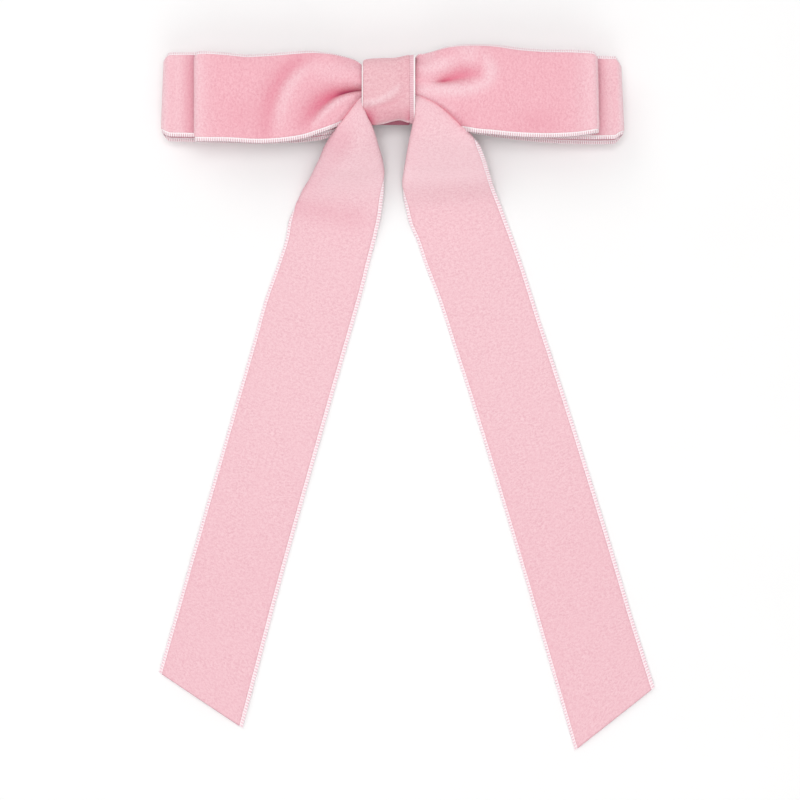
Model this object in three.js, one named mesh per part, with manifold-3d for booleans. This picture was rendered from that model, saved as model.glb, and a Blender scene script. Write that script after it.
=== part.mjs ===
// A two-tier velvet ribbon bow on an auto-lock French barrette. Millimetres, +Z up.
// The barrette lies on its back on the plane z = 0: the clasp arm's flat underside is at z = 0, the bow faces +Z,
// X runs along the clip (hinge at -X, catch at +X), and the tails run towards -Y and lie on the plane.
// The origin is on the clasp arm's underside, below the middle of the clip.
import * as THREE from "three";
import { mergeVertices } from "three/addons/utils/BufferGeometryUtils.js";
import { ParametricGeometry } from "three/addons/geometries/ParametricGeometry.js";
import Module from "manifold-3d";

const wasm = await Module();
wasm.setup();

// ---------- driving dimensions, mm ----------
const RIBBON_T = 0.8; // velvet ribbon with its pile
const LOOP_T = 0.6; // the loops' thickness where they are gathered

const UPPER = { left: -51.6, right: 55.6 }; // ends of the upper tier along X
const LOWER = { left: -61.0, right: 62.6 }; // ends of the lower tier
const BOW_TOP = 12.5; // long edges of the loops
const BOW_BOTTOM = -12.2;
const WRAP = { x0: -7.2, x1: 7.2, t: 0.9 }; // the narrower ribbon round the middle

const CLIP_HALF = 40; // half of the 80 mm clip
const BASE_T = 0.8;
const BASE_FLAT_Z = 7.0; // underside of the base's flat ends
const BASE_RISE = 2.6; // how far the arch stands above its ends
const ARCH_HALF = 33;
const ARM_T = 0.8;
const ARM_HALF_W = 3.2;
const TIP_Z = 2.35; // underside of the arm's raised tip, under the catch
const PIN = { x: -38, z: 2.3, r: 0.6 };
const LATCH_X0 = 34.2; // the catch's jaws along X
const LATCH_X1 = 37.8;
const SPRING = { x0: -31.6, x1: 31.4, endZ: 6.25, midZ: 5.2, t: 0.35, w: 5 };

// ---------- helpers ----------
const geometryOf = (solid) => {
  const m = solid.getMesh();
  const n = m.numProp;
  const pos = new Float32Array((m.vertProperties.length / n) * 3);
  for (let i = 0; i < pos.length / 3; i++)
    for (let k = 0; k < 3; k++) pos[3 * i + k] = m.vertProperties[n * i + k];
  const g = new THREE.BufferGeometry();
  g.setAttribute("position", new THREE.BufferAttribute(pos, 3));
  g.setIndex(new THREE.BufferAttribute(new Uint32Array(m.triVerts), 1));
  g.computeVertexNormals();
  return g;
};
const solidOf = (geometry) => {
  const g = geometry.index ? geometry.clone() : geometry.clone();
  for (const name of Object.keys(g.attributes))
    if (name !== "position") g.deleteAttribute(name);
  const merged = mergeVertices(g, 1e-4);
  return new wasm.Manifold(
    new wasm.Mesh({
      numProp: 3,
      vertProperties: new Float32Array(merged.attributes.position.array),
      triVerts: new Uint32Array(merged.index.array),
    }),
  );
};
const join = (...parts) => parts.reduce((a, b) => a.add(b));
const cut = (a, ...parts) => parts.reduce((s, b) => s.subtract(b), a);
const smooth = (x, a, b) => {
  const t = Math.min(Math.max((x - a) / (b - a), 0), 1);
  return t * t * (3 - 2 * t);
};
const lerp = (a, b, t) => a + (b - a) * t;

// A polygon in the XZ plane, extruded along Y between y0 and y1.
const plateXZ = (points, y0, y1) => {
  const g = new THREE.ExtrudeGeometry(
    new THREE.Shape(points.map(([x, z]) => new THREE.Vector2(x, z))),
    { depth: y1 - y0, bevelEnabled: false, steps: 1 },
  );
  g.rotateX(Math.PI / 2); // the shape's Y becomes +Z and its depth runs to -Y
  g.translate(0, y1, 0);
  return solidOf(g);
};
// A polygon in the YZ plane, extruded along X between x0 and x1.
const plateYZ = (points, x0, x1) => {
  const g = new THREE.ExtrudeGeometry(
    new THREE.Shape(points.map(([y, z]) => new THREE.Vector2(y, z))),
    { depth: x1 - x0, bevelEnabled: false, steps: 1 },
  );
  g.applyMatrix4(
    new THREE.Matrix4().set(0, 0, 1, x0, 1, 0, 0, 0, 0, 1, 0, 0, 0, 0, 0, 1),
  );
  return solidOf(g);
};
// A plan outline in the XY plane, extruded along Z between z0 and z1.
const plateXY = (points, z0, z1) => {
  const g = new THREE.ExtrudeGeometry(
    new THREE.Shape(points.map(([x, y]) => new THREE.Vector2(x, y))),
    { depth: z1 - z0, bevelEnabled: false, steps: 1 },
  );
  g.translate(0, 0, z0);
  return solidOf(g);
};
const drill = (x, y, r, z0, z1, sides = 20) => {
  const g = new THREE.CylinderGeometry(r, r, z1 - z0, sides);
  g.rotateX(Math.PI / 2);
  g.translate(x, y, (z0 + z1) / 2);
  return solidOf(g);
};
const drillY = (x, z, r, y0, y1, sides = 20) => {
  const g = new THREE.CylinderGeometry(r, r, y1 - y0, sides);
  g.translate(x, (y0 + y1) / 2, z);
  return solidOf(g);
};
const disc = (cx, cz, r, a0, a1, n) =>
  Array.from({ length: n + 1 }, (_, i) => {
    const a = lerp(a0, a1, i / n);
    return [cx + r * Math.cos(a), cz + r * Math.sin(a)];
  });

// ---------- clip: base plate ----------
const archZ = (x) =>
  Math.abs(x) >= ARCH_HALF
    ? BASE_FLAT_Z
    : BASE_FLAT_Z + BASE_RISE * (1 - (x / ARCH_HALF) ** 2);
const baseHalfWidth = (x) => 4.2 + 0.6 * (1 - smooth(Math.abs(x), 8, 34));

function clipBase() {
  const xs = [];
  for (let x = -CLIP_HALF; x <= CLIP_HALF + 1e-6; x += 2.5) xs.push(x);
  for (const x of [-ARCH_HALF, ARCH_HALF]) xs.push(x);
  xs.sort((a, b) => a - b);
  const band = plateXZ(
    [
      ...xs.map((x) => [x, archZ(x)]),
      ...xs.reverse().map((x) => [x, archZ(x) + BASE_T]),
    ],
    -6,
    6,
  );
  // plan outline with rounded ends
  const half = [];
  for (let x = -36; x <= 36.01; x += 3) half.push([x, baseHalfWidth(x)]);
  const end = (s) =>
    Array.from({ length: 7 }, (_, i) => {
      const a = lerp(Math.PI / 2, -Math.PI / 2, (i + 1) / 8);
      return [s * (36.4 + 3.6 * Math.cos(a)), s * 4.2 * Math.sin(a)];
    });
  const outline = [
    ...half.map(([x, y]) => [x, -y]),
    ...end(1).reverse(),
    ...half.reverse(),
    ...end(-1).reverse(),
  ];
  const plate = band.intersect(plateXY(outline, 0, 20));
  // hinge ears, one each side, with a rounded foot and the pin's hole
  const earShape = [
    [PIN.x - 2.0, BASE_FLAT_Z + 0.4],
    ...disc(PIN.x, PIN.z, 1.9, Math.PI, 2 * Math.PI, 10),
    [PIN.x + 2.6, BASE_FLAT_Z + 0.4],
  ];
  const ears = [
    plateXZ(earShape, 3.4, 4.2),
    plateXZ(earShape, -4.2, -3.4),
  ].map((e) => cut(e, drillY(PIN.x, PIN.z, PIN.r + 0.28, -6, 6)));
  // hooks that hold the leaf spring's two ends
  const hookPoints = (s) => {
    const p = [
      [32.9, 7.3],
      [32.9, 5.4],
      [30.4, 5.4],
      [30.4, 5.9],
      [32.3, 5.9],
      [32.3, 7.3],
    ].map(([x, z]) => [s * x, z]);
    return s > 0 ? p.reverse() : p;
  };
  const hooks = [1, -1].map((s) => plateXZ(hookPoints(s), -1.5, 1.5));
  const holes = [];
  for (const sx of [-1, 1])
    for (const sy of [-1, 1]) holes.push(drill(sx * 26, sy * 3.55, 0.55, 0, 20, 12));
  holes.push(drill(36, 0, 1.02, 0, 20)); // the catch's rivet
  return cut(join(plate, ...ears, ...hooks), ...holes);
}

// ---------- clip: clasp arm ----------
function claspArm() {
  // centre line of the strip from the knuckle to the lifted tip, as [x, underside z]
  const line = [
    [PIN.x + 0.2, PIN.z - 1.45],
    [-36.2, 0.75],
    [-34.6, 0.25],
    [-33.2, 0],
    [27, 0],
    [28.2, 0.3],
    [30.4, 2.0],
    [31.6, TIP_Z],
    [39.6, TIP_Z],
    [41.2, TIP_Z + 0.35],
    [42.4, TIP_Z + 1.0],
  ];
  const top = line.map(([x, z], i) => {
    const a = line[Math.max(i - 1, 0)],
      b = line[Math.min(i + 1, line.length - 1)];
    const d = Math.hypot(b[0] - a[0], b[1] - a[1]);
    return [x - ((b[1] - a[1]) / d) * ARM_T, z + ((b[0] - a[0]) / d) * ARM_T];
  });
  const band = plateXZ([...line, ...top.reverse()], -5, 5);
  const w = (x) => {
    if (x < -33) return 3.0;
    return ARM_HALF_W + 0.9 * smooth(x, 26, 31.5);
  };
  const side = [];
  for (const x of [-40, -33, -30, 0, 26, 27.4, 28.8, 30.2, 31.6, 39]) side.push([x, w(x)]);
  const tip = Array.from({ length: 9 }, (_, i) => {
    const a = lerp(Math.PI / 2, -Math.PI / 2, i / 8);
    return [39 + 3.3 * Math.cos(a), 4.1 * Math.sin(a)];
  });
  const outline = [
    ...side.map(([x, y]) => [x, -y]),
    ...tip.slice(1, -1).reverse(),
    ...side.reverse(),
  ];
  const strip = band.intersect(plateXY(outline, -5, 20));
  const knuckle = drillY(PIN.x, PIN.z, 1.45, -3.0, 3.0, 24);
  const window = new THREE.BoxGeometry(5.2, 5.0, 10);
  window.translate(36, 0, 4);
  // two shallow stamped ribs along the upper side, which stiffen the strip
  const rib = (y) =>
    plateXZ(
      [
        [-30, 0.5],
        [24, 0.5],
        [24, 0.81],
        [23, 0.92],
        [-29, 0.92],
        [-30, 0.81],
      ],
      y - 0.5,
      y + 0.5,
    );
  return cut(
    join(strip, knuckle, rib(-2.2), rib(2.2)),
    solidOf(window),
    drillY(PIN.x, PIN.z, PIN.r + 0.28, -6, 6),
  );
}

// ---------- clip: leaf spring ----------
const springZ = (x) => {
  const mid = (SPRING.x0 + SPRING.x1) / 2,
    half = (SPRING.x1 - SPRING.x0) / 2;
  return lerp(SPRING.midZ, SPRING.endZ, ((x - mid) / half) ** 2);
};
function leafSpring() {
  const low = [];
  for (let i = 0; i <= 20; i++) {
    const x = lerp(SPRING.x0, SPRING.x1, i / 20);
    low.push([x, springZ(x)]);
  }
  const high = low.map(([x, z]) => [x, z + SPRING.t]).reverse();
  return plateXZ([...low, ...high], -SPRING.w / 2, SPRING.w / 2);
}

// ---------- clip: hinge pin, with a head at each end ----------
function hingePin() {
  const g = new THREE.LatheGeometry(
    [
      [0, -4.85],
      [0.8, -4.85],
      [1.0, -4.7],
      [1.0, -4.5],
      [PIN.r, -4.5],
      [PIN.r, 4.5],
      [1.0, 4.5],
      [1.0, 4.7],
      [0.8, 4.85],
      [0, 4.85],
    ].map(([r, y]) => new THREE.Vector2(r, y)),
    16,
  );
  g.translate(PIN.x, 0, PIN.z);
  return g;
}

// ---------- clip: catch ----------
function latchBracket() {
  const z = BASE_FLAT_Z - 0.3;
  const u = [
    [33.4, z - 1.5],
    [33.9, z - 1.5],
    [33.9, z - 0.5],
    [38.1, z - 0.5],
    [38.1, z - 1.5],
    [38.6, z - 1.5],
    [38.6, z],
    [33.4, z],
  ];
  return cut(plateXZ(u, -2.4, 2.4), drill(36, 0, 1.02, 0, 20));
}
function latchRivet() {
  const g = new THREE.LatheGeometry(
    [
      [0, 5.55],
      [1.0, 5.55],
      [1.25, 5.7],
      [1.25, 5.9],
      [0.72, 5.9],
      [0.72, 8.1],
      [1.6, 8.1],
      [1.5, 8.3],
      [1.1, 8.46],
      [0.5, 8.52],
      [0, 8.53],
    ].map(([r, y]) => new THREE.Vector2(r, y)),
    20,
  );
  g.rotateX(Math.PI / 2);
  g.translate(36, 0, 0);
  return g;
}
// One sprung jaw: a web that passes down through the arm's window, a barb below the rim, and a finger pad at the side.
const JAW = [
  [1.7, 5.9],
  [1.7, 1.35],
  [2.0, 1.25],
  [2.95, 1.9],
  [2.95, 2.05],
  [2.2, 2.05],
  [2.2, 4.3],
  [5.7, 4.3],
  [6.2, 4.5],
  [6.4, 5.0],
  [6.4, 6.6],
  [6.6, 7.1],
  [6.1, 7.3],
  [5.9, 6.7],
  [5.9, 5.1],
  [5.6, 4.8],
  [2.2, 4.8],
  [2.2, 5.9],
];
const latchJaw = (s) =>
  plateYZ(
    s > 0 ? JAW : JAW.map(([y, z]) => [-y, z]).reverse(),
    LATCH_X0,
    LATCH_X1,
  );

// ---------- ribbon loops: one closed ring per tier ----------
// The ring's middle line in XZ: front layer to the right end, round it, back layer to the left end, round that.
// Near the middle each ring is gathered, so its width shrinks and its layers come together.
const edgeTop = (x) => {
  const a = Math.abs(x);
  return lerp(6.2, BOW_TOP + (x > 0 ? 0.9 * (1 - smooth(a, 22, 40)) : 0), smooth(a, 7.4, 17));
};
const edgeBottom = (x) => {
  const a = Math.abs(x);
  return x < 0
    ? lerp(-1.9, -5.9, smooth(a, 7.4, 11)) + (BOW_BOTTOM + 5.9) * smooth(a, 12.5, 21)
    : lerp(-1.9, -5.9, smooth(a, 7.4, 11)) + (BOW_BOTTOM + 5.9) * smooth(a, 19, 33);
};
function loopRing(tier) {
  const { left, right, knotFront, knotBack, puffFront, puffBack, endZ, endR } = tier;
  const layer = (knot, puff, end, x, y) => {
    const a = Math.abs(x);
    const reach = x > 0 ? right - endR : -(left + endR);
    // under the tails the front stays low for longer
    const low = smooth(-y, -1, 5);
    const start = lerp(7.5, x > 0 ? 17 : 13, low),
      full = lerp(19, x > 0 ? 30 : 24, low);
    const z = lerp(knot, puff, smooth(a, start, full));
    return lerp(z, end, smooth(a, 0.62 * reach, reach));
  };
  const N = 30; // samples along one layer
  const path = [];
  const front = [],
    back = [];
  for (let i = 0; i <= N; i++) {
    const x = lerp(left + endR, right - endR, i / N);
    front.push(x);
    back.push(x);
  }
  for (const x of front) path.push({ x, side: 0 });
  for (let i = 1; i <= 4; i++) path.push({ x: right - endR, side: i / 5, end: 1 });
  for (const x of back.reverse()) path.push({ x, side: 1 });
  for (let i = 1; i <= 4; i++) path.push({ x: left + endR, side: 1 - i / 5, end: -1 });
  const M = path.length;
  const mid = (k, y) => {
    const p = path[((k % M) + M) % M];
    const zf = layer(knotFront, puffFront, endZ + endR, p.x, y);
    const zb = layer(knotBack, puffBack, endZ - endR, p.x, y);
    if (!p.end) return [p.x, p.side === 0 ? zf : zb];
    const a = Math.PI * p.side;
    return [p.x + p.end * endR * Math.sin(a), endZ + endR * Math.cos(a)];
  };
  // the strip's section, walked round: front face, edge, back face, edge
  const W = 7;
  const section = [];
  for (let i = 0; i < W; i++) section.push([i / (W - 1), 1]);
  for (let i = W - 1; i >= 0; i--) section.push([i / (W - 1), -1]);
  const S = section.length;
  const at = (k, j) => {
    const [v, s] = section[((j % S) + S) % S];
    const p = path[((k % M) + M) % M];
    // long edges: square to the strip, with the corner at each end a little rounded
    const x0 = mid(k, 0)[0];
    const inset = 1.0 * smooth(Math.abs(x0), (x0 > 0 ? right : -left) - 3, x0 > 0 ? right : -left);
    const y = lerp(edgeBottom(p.x) + inset, edgeTop(p.x) - inset, v);
    const [xa, za] = mid(k - 1, y),
      [xb, zb] = mid(k + 1, y),
      [x, z] = mid(k, y);
    const d = Math.hypot(xb - xa, zb - za) || 1;
    const nx = -(zb - za) / d,
      nz = (xb - xa) / d;
    return [x + (s * nx * LOOP_T) / 2, y, z + (s * nz * LOOP_T) / 2];
  };
  const g = new ParametricGeometry(
    (u, v, target) => {
      const k = Math.round(u * M),
        j = Math.round(v * S);
      const [x, y, z] = at(k, j);
      target.set(x, y, z);
    },
    M,
    S,
  );
  let solid = solidOf(g);
  if (solid.volume() < 0) {
    const h = g.toNonIndexed();
    const p = h.attributes.position.array;
    for (let i = 0; i < p.length; i += 9)
      for (let k = 0; k < 3; k++)
        [p[i + 3 + k], p[i + 6 + k]] = [p[i + 6 + k], p[i + 3 + k]];
    solid = solidOf(h);
  }
  return geometryOf(solid);
}
const LOWER_TIER = {
  ...LOWER,
  knotFront: 13.1,
  knotBack: 12.2,
  puffFront: 13.5,
  puffBack: 10.9,
  endZ: 9.0,
  endR: 1.5,
};
const UPPER_TIER = {
  ...UPPER,
  knotFront: 14.9,
  knotBack: 14.0,
  puffFront: 18.3,
  puffBack: 14.6,
  endZ: 15.2,
  endR: 1.6,
};

// ---------- tails ----------
// Each row: middle of the ribbon (x, y, z of its crown), half of its width as a vector (hx, hy), and how far the two
// edges drop below the crown (b). The ribbon leaves the wrap narrow and rounded, and lies flat from the fourth or fifth row on.
const TAIL_LEFT = [
  [-1.6, 1.6, 16.4, 1.3, -2.4, 0.05],
  [-6.4, -1.2, 16.2, 0.5, -1.7, 0.1],
  [-8.8, -2.7, 16.5, 1.0, -1.3, 0.4],
  [-9.7, -5.0, 17.0, 1.9, -0.7, 0.8],
  [-9.3, -7.9, 17.0, 4.3, -0.4, 1.3],
  [-9.75, -12.5, 14.9, 7.0, -0.3, 1.8],
  [-10.1, -16.5, 10.9, 8.6, -0.4, 1.9],
  [-11.3, -21.6, 5.6, 10.2, -0.9, 1.5],
  [-13.4, -27.9, 1.5, 11.7, -2.3, 0.4],
  [-15.3, -34.2, 0.4, 12.1, -3.3, 0],
  [-20.8, -53.7, 0.4, 12.2, -3.5, 0],
  [-28.4, -80.9, 0.4, 12.2, -3.5, 0],
  [-36.2, -108.1, 0.4, 12.2, -3.45, 0],
  [-43.6, -135.3, 0.4, 12.2, -3.45, 0],
  [-50.9, -161.0, 0.4, 12.2, -3.45, 0],
];
const TAIL_RIGHT = [
  [1.6, 1.6, 16.4, 1.3, 2.4, 0.05],
  [6.4, -0.6, 16.2, 0.8, 1.6, 0.1],
  [9.1, -2.1, 16.5, 1.3, 1.2, 0.4],
  [10.6, -4.5, 17.0, 2.7, 1.0, 0.8],
  [12.4, -7.5, 17.0, 5.9, 0.8, 1.3],
  [14.8, -12.4, 15.0, 9.0, 0.2, 1.8],
  [15.0, -16.7, 11.0, 10.2, 0.2, 1.9],
  [15.7, -21.8, 5.7, 11.4, 0.9, 1.4],
  [16.9, -27.4, 1.9, 12.0, 2.2, 0.5],
  [19.2, -34.4, 0.4, 12.1, 3.6, 0],
  [25.8, -53.7, 0.4, 12.0, 3.8, 0],
  [35.2, -80.9, 0.4, 12.1, 3.8, 0],
  [43.8, -108.1, 0.4, 12.15, 3.8, 0],
  [51.7, -135.3, 0.4, 12.15, 3.75, 0],
  [59.9, -162.0, 0.4, 12.15, 3.7, 0],
];
// The cut ends, as the line through two points.
const CUT_LEFT = [
  [-62.3, -154.9],
  [-39.95, -170.2],
];
const CUT_RIGHT = [
  [71.9, -159.0],
  [50.8, -176.3],
];
function tail(rows, endLine) {
  const curves = [0, 1, 2, 3, 4, 5].map((c) => rows.map((r) => r[c]));
  // a smooth path through the rows, by Catmull-Rom curves over the rows' own spacing
  const points = new THREE.CatmullRomCurve3(
    rows.map((r) => new THREE.Vector3(r[0], r[1], r[2])),
    false,
    "centripetal",
  );
  const n = rows.length - 1;
  const value = (c, t) => {
    const i = Math.min(Math.floor(t), n - 1),
      f = t - i;
    return lerp(curves[c][i], curves[c][i + 1], f * f * (3 - 2 * f) * 0.5 + f * 0.5);
  };
  const STEPS = [];
  for (let i = 0; i < n; i++) {
    const k = i < 9 ? 3 : 2;
    for (let j = 0; j < k; j++) STEPS.push(i + j / k);
  }
  STEPS.push(n);
  const L = STEPS.length - 1,
    W = 10;
  const row = (l, q) => {
    const t = STEPS[l];
    const p = points.getPoint(t / n);
    const hx = value(3, t),
      hy = value(4, t),
      b = value(5, t);
    const z = Math.max(p.z, RIBBON_T / 2);
    return new THREE.Vector3(p.x + hx * q, p.y + hy * q, Math.max(z - b * (1 - Math.sqrt(Math.max(1 - 0.97 * q * q, 0))), RIBBON_T / 2));
  };
  const g = new THREE.BoxGeometry(1, 1, 1, W, L, 1);
  const pos = g.attributes.position;
  for (let i = 0; i < pos.count; i++) {
    const q = Math.round((pos.getX(i) + 0.5) * W) / W * 2 - 1;
    const l = Math.round((0.5 - pos.getY(i)) * L);
    const s = Math.sign(pos.getZ(i));
    const qs = Math.sin((q * Math.PI) / 2) * 0.35 + q * 0.65; // closer together near the edges
    const p = row(l, qs);
    // the last row is moved along the ribbon onto the slanted cut
    if (l === L) {
      const [a, c] = endLine;
      const before = row(l - 2, qs);
      const dx = p.x - before.x,
        dy = p.y - before.y;
      const ex = c[0] - a[0],
        ey = c[1] - a[1];
      const k = ((a[0] - before.x) * ey - (a[1] - before.y) * ex) / (dx * ey - dy * ex);
      p.x = before.x + dx * k;
      p.y = before.y + dy * k;
    }
    if (l === L - 1) {
      const [a, c] = endLine;
      const before = row(l - 1, qs),
        last = row(l + 1, qs);
      const dx = last.x - before.x,
        dy = last.y - before.y;
      const ex = c[0] - a[0],
        ey = c[1] - a[1];
      const k = ((a[0] - before.x) * ey - (a[1] - before.y) * ex) / (dx * ey - dy * ex);
      p.x = before.x + (dx * k) / 2;
      p.y = before.y + (dy * k) / 2;
    }
    const l0 = Math.max(l - 1, 0),
      l1 = Math.min(l + 1, L);
    const along = row(l1, qs).sub(row(l0, qs));
    const across = row(l, Math.min(qs + 0.05, 1)).sub(row(l, Math.max(qs - 0.05, -1)));
    const nrm = new THREE.Vector3().crossVectors(across, along).normalize();
    if (nrm.z < 0) nrm.negate();
    p.addScaledVector(nrm, (s * RIBBON_T) / 2);
    pos.setXYZ(i, p.x, p.y, p.z);
  }
  let solid = solidOf(g);
  if (solid.volume() < 0) {
    const h = g.toNonIndexed();
    const a = h.attributes.position.array;
    for (let i = 0; i < a.length; i += 9)
      for (let k = 0; k < 3; k++)
        [a[i + 3 + k], a[i + 6 + k]] = [a[i + 6 + k], a[i + 3 + k]];
    solid = solidOf(h);
  }
  return geometryOf(solid);
}

// ---------- centre wrap: a ring in the YZ plane, round the gathered bow and the clip's base ----------
function centreWrap() {
  // outer line of the ring, anticlockwise in (y, z), then the inner line set in by the ribbon's thickness
  const outer = [
    [-5.4, 8.2],
    [0, 8.15],
    [5.6, 8.2],
    [7.1, 8.9],
    [8.0, 10.3],
    [8.9, 12.4],
    [9.5, 14.9],
    [9.3, 17.0],
    [8.2, 18.5],
    [6.0, 19.2],
    [3.0, 19.45],
    [0, 19.35],
    [-2.6, 18.75],
    [-4.8, 17.3],
    [-6.3, 15.2],
    [-7.2, 13.2],
    [-7.5, 11.2],
    [-7.2, 9.6],
    [-6.6, 8.7],
  ];
  const inner = outer.map((p, i) => {
    const a = outer[(i + outer.length - 1) % outer.length],
      b = outer[(i + 1) % outer.length];
    const d = Math.hypot(b[0] - a[0], b[1] - a[1]);
    return [p[0] - ((b[1] - a[1]) / d) * WRAP.t, p[1] + ((b[0] - a[0]) / d) * WRAP.t];
  });
  const shape = new THREE.Shape(outer.map(([y, z]) => new THREE.Vector2(y, z)));
  shape.holes.push(new THREE.Path(inner.map(([y, z]) => new THREE.Vector2(y, z)).reverse()));
  const g = new THREE.ExtrudeGeometry(shape, {
    depth: WRAP.x1 - WRAP.x0,
    bevelEnabled: false,
    steps: 4,
  });
  g.applyMatrix4(
    new THREE.Matrix4().set(0, 0, 1, WRAP.x0, 1, 0, 0, 0, 0, 1, 0, 0, 0, 0, 0, 1),
  );
  return g;
}

// ---------- gathering thread: three turns round the gathered ribbons, inside the wrap ----------
function gatheringThread() {
  const turns = 3,
    per = 16;
  const points = [];
  for (let i = 0; i <= turns * per; i++) {
    const a = (2 * Math.PI * i) / per;
    const c = Math.cos(a),
      s = Math.sin(a);
    // a rounded rectangle in YZ
    const k = 1 / Math.pow(Math.abs(c) ** 8 + Math.abs(s) ** 8, 1 / 8);
    points.push(
      new THREE.Vector3(-1.6 + (3.2 * i) / (turns * per), 2.3 + 5.4 * c * k, 14.3 + 2.9 * s * k),
    );
  }
  return new THREE.ExtrudeGeometry(
    new THREE.Shape(
      Array.from({ length: 6 }, (_, i) => {
        const a = (2 * Math.PI * i) / 6;
        return new THREE.Vector2(0.18 * Math.cos(a), 0.18 * Math.sin(a));
      }),
    ),
    {
      steps: turns * per,
      bevelEnabled: false,
      extrudePath: new THREE.CatmullRomCurve3(points),
    },
  );
}

// ---------- backing ribbon: grosgrain along the top of the base plate ----------
function backingRibbon() {
  const low = [];
  for (let x = -32.5; x <= 32.51; x += 2.5)
    low.push([x, archZ(x) + BASE_T + 0.3 + (Math.abs(x) > 32 ? 0.03 : 0)]);
  const high = low.map(([x, z]) => [x, z + 0.35]).reverse();
  return plateXZ([...low, ...high], -6.0, 6.0);
}

// ---------- assembly ----------
const bow = new THREE.Group();
const add = (name, geometry, color, roughness, metalness) => {
  const g = geometry.isBufferGeometry ? geometry : geometryOf(geometry);
  const mesh = new THREE.Mesh(
    g,
    new THREE.MeshStandardMaterial({ color, roughness, metalness }),
  );
  mesh.name = name;
  bow.add(mesh);
  return mesh;
};
const VELVET = 0xf3bcc8,
  TAIL_VELVET = 0xf7c9d3,
  STEEL = 0xb9bcc0;
add("upper_loop", loopRing(UPPER_TIER), VELVET, 0.9, 0);
add("lower_loop", loopRing(LOWER_TIER), VELVET, 0.9, 0);
add("tail_left", tail(TAIL_LEFT, CUT_LEFT), TAIL_VELVET, 0.9, 0);
add("tail_right", tail(TAIL_RIGHT, CUT_RIGHT), TAIL_VELVET, 0.9, 0);
add("centre_wrap", centreWrap(), 0xefb6c4, 0.9, 0);
add("gathering_thread", gatheringThread(), 0xf4e6e8, 0.7, 0);
add("backing_ribbon", backingRibbon(), 0xf5eef0, 0.8, 0);
add("clip_base", clipBase(), STEEL, 0.3, 1);
add("clasp_arm", claspArm(), STEEL, 0.3, 1);
add("leaf_spring", leafSpring(), 0xc4c6c8, 0.28, 1);
add("hinge_pin", hingePin(), 0xa9acb0, 0.35, 1);
add("latch_bracket", latchBracket(), STEEL, 0.3, 1);
add("latch_rivet", latchRivet(), 0xa9acb0, 0.35, 1);
add("latch_jaw_front", latchJaw(-1), 0xc4c6c8, 0.28, 1);
add("latch_jaw_back", latchJaw(1), 0xc4c6c8, 0.28, 1);

export default bow;
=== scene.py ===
import math

import bpy
import numpy as np
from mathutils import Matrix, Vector


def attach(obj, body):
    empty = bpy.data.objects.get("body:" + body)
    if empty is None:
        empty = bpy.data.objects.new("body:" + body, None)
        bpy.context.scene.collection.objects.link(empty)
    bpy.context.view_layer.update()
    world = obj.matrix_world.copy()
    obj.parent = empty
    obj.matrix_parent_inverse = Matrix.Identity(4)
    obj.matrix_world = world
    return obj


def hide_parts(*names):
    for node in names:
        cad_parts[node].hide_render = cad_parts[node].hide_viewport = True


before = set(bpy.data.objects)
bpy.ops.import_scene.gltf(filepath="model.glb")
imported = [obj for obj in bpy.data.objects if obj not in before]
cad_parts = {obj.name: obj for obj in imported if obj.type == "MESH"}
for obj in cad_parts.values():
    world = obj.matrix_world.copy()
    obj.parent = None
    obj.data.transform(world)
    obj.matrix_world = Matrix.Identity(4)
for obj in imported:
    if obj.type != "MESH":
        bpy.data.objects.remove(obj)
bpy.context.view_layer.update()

MM = 0.001
pi = math.pi


# ---------------------------------------------------------------- small maths
def smooth(x, a, b):
    t = np.clip((np.asarray(x, float) - a) / (b - a), 0, 1)
    return t * t * (3 - 2 * t)


def lerp(a, b, t):
    return a + (b - a) * t


def hermite(ts, vals, tq):
    """A smooth curve through vals at ts, with finite-difference tangents. vals is (n,) or (n, k)."""
    ts = np.asarray(ts, float)
    vals = np.asarray(vals, float)
    one = vals.ndim == 1
    if one:
        vals = vals[:, None]
    tq = np.clip(np.asarray(tq, float), ts[0], ts[-1])
    d = np.diff(vals, axis=0) / np.diff(ts)[:, None]
    h = np.diff(ts)
    m = np.empty_like(vals)
    m[0], m[-1] = d[0], d[-1]
    w = (h[1:] / (h[1:] + h[:-1]))[:, None]
    m[1:-1] = d[:-1] * w + d[1:] * (1 - w)
    i = np.clip(np.searchsorted(ts, tq, side="right") - 1, 0, len(ts) - 2)
    hh = h[i]
    u = ((tq - ts[i]) / hh)[:, None]
    hh = hh[:, None]
    out = (
        (2 * u**3 - 3 * u**2 + 1) * vals[i]
        + (u**3 - 2 * u**2 + u) * hh * m[i]
        + (-2 * u**3 + 3 * u**2) * vals[i + 1]
        + (u**3 - u**2) * hh * m[i + 1]
    )
    return out[:, 0] if one else out


def table(points):
    a = np.array(points, float)
    return lambda x: hermite(a[:, 0], a[:, 1], np.ravel(x)).reshape(np.shape(x))


def unit(v):
    return v / np.maximum(np.linalg.norm(v, axis=-1, keepdims=True), 1e-12)


def grid_normals(P, closed=False):
    """Normals of a grid of points P[along, across]: across x along."""
    if closed:
        du = np.roll(P, -1, 0) - np.roll(P, 1, 0)
    else:
        du = np.gradient(P, axis=0)
    dv = np.gradient(P, axis=1)
    return unit(np.cross(dv, du))


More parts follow.
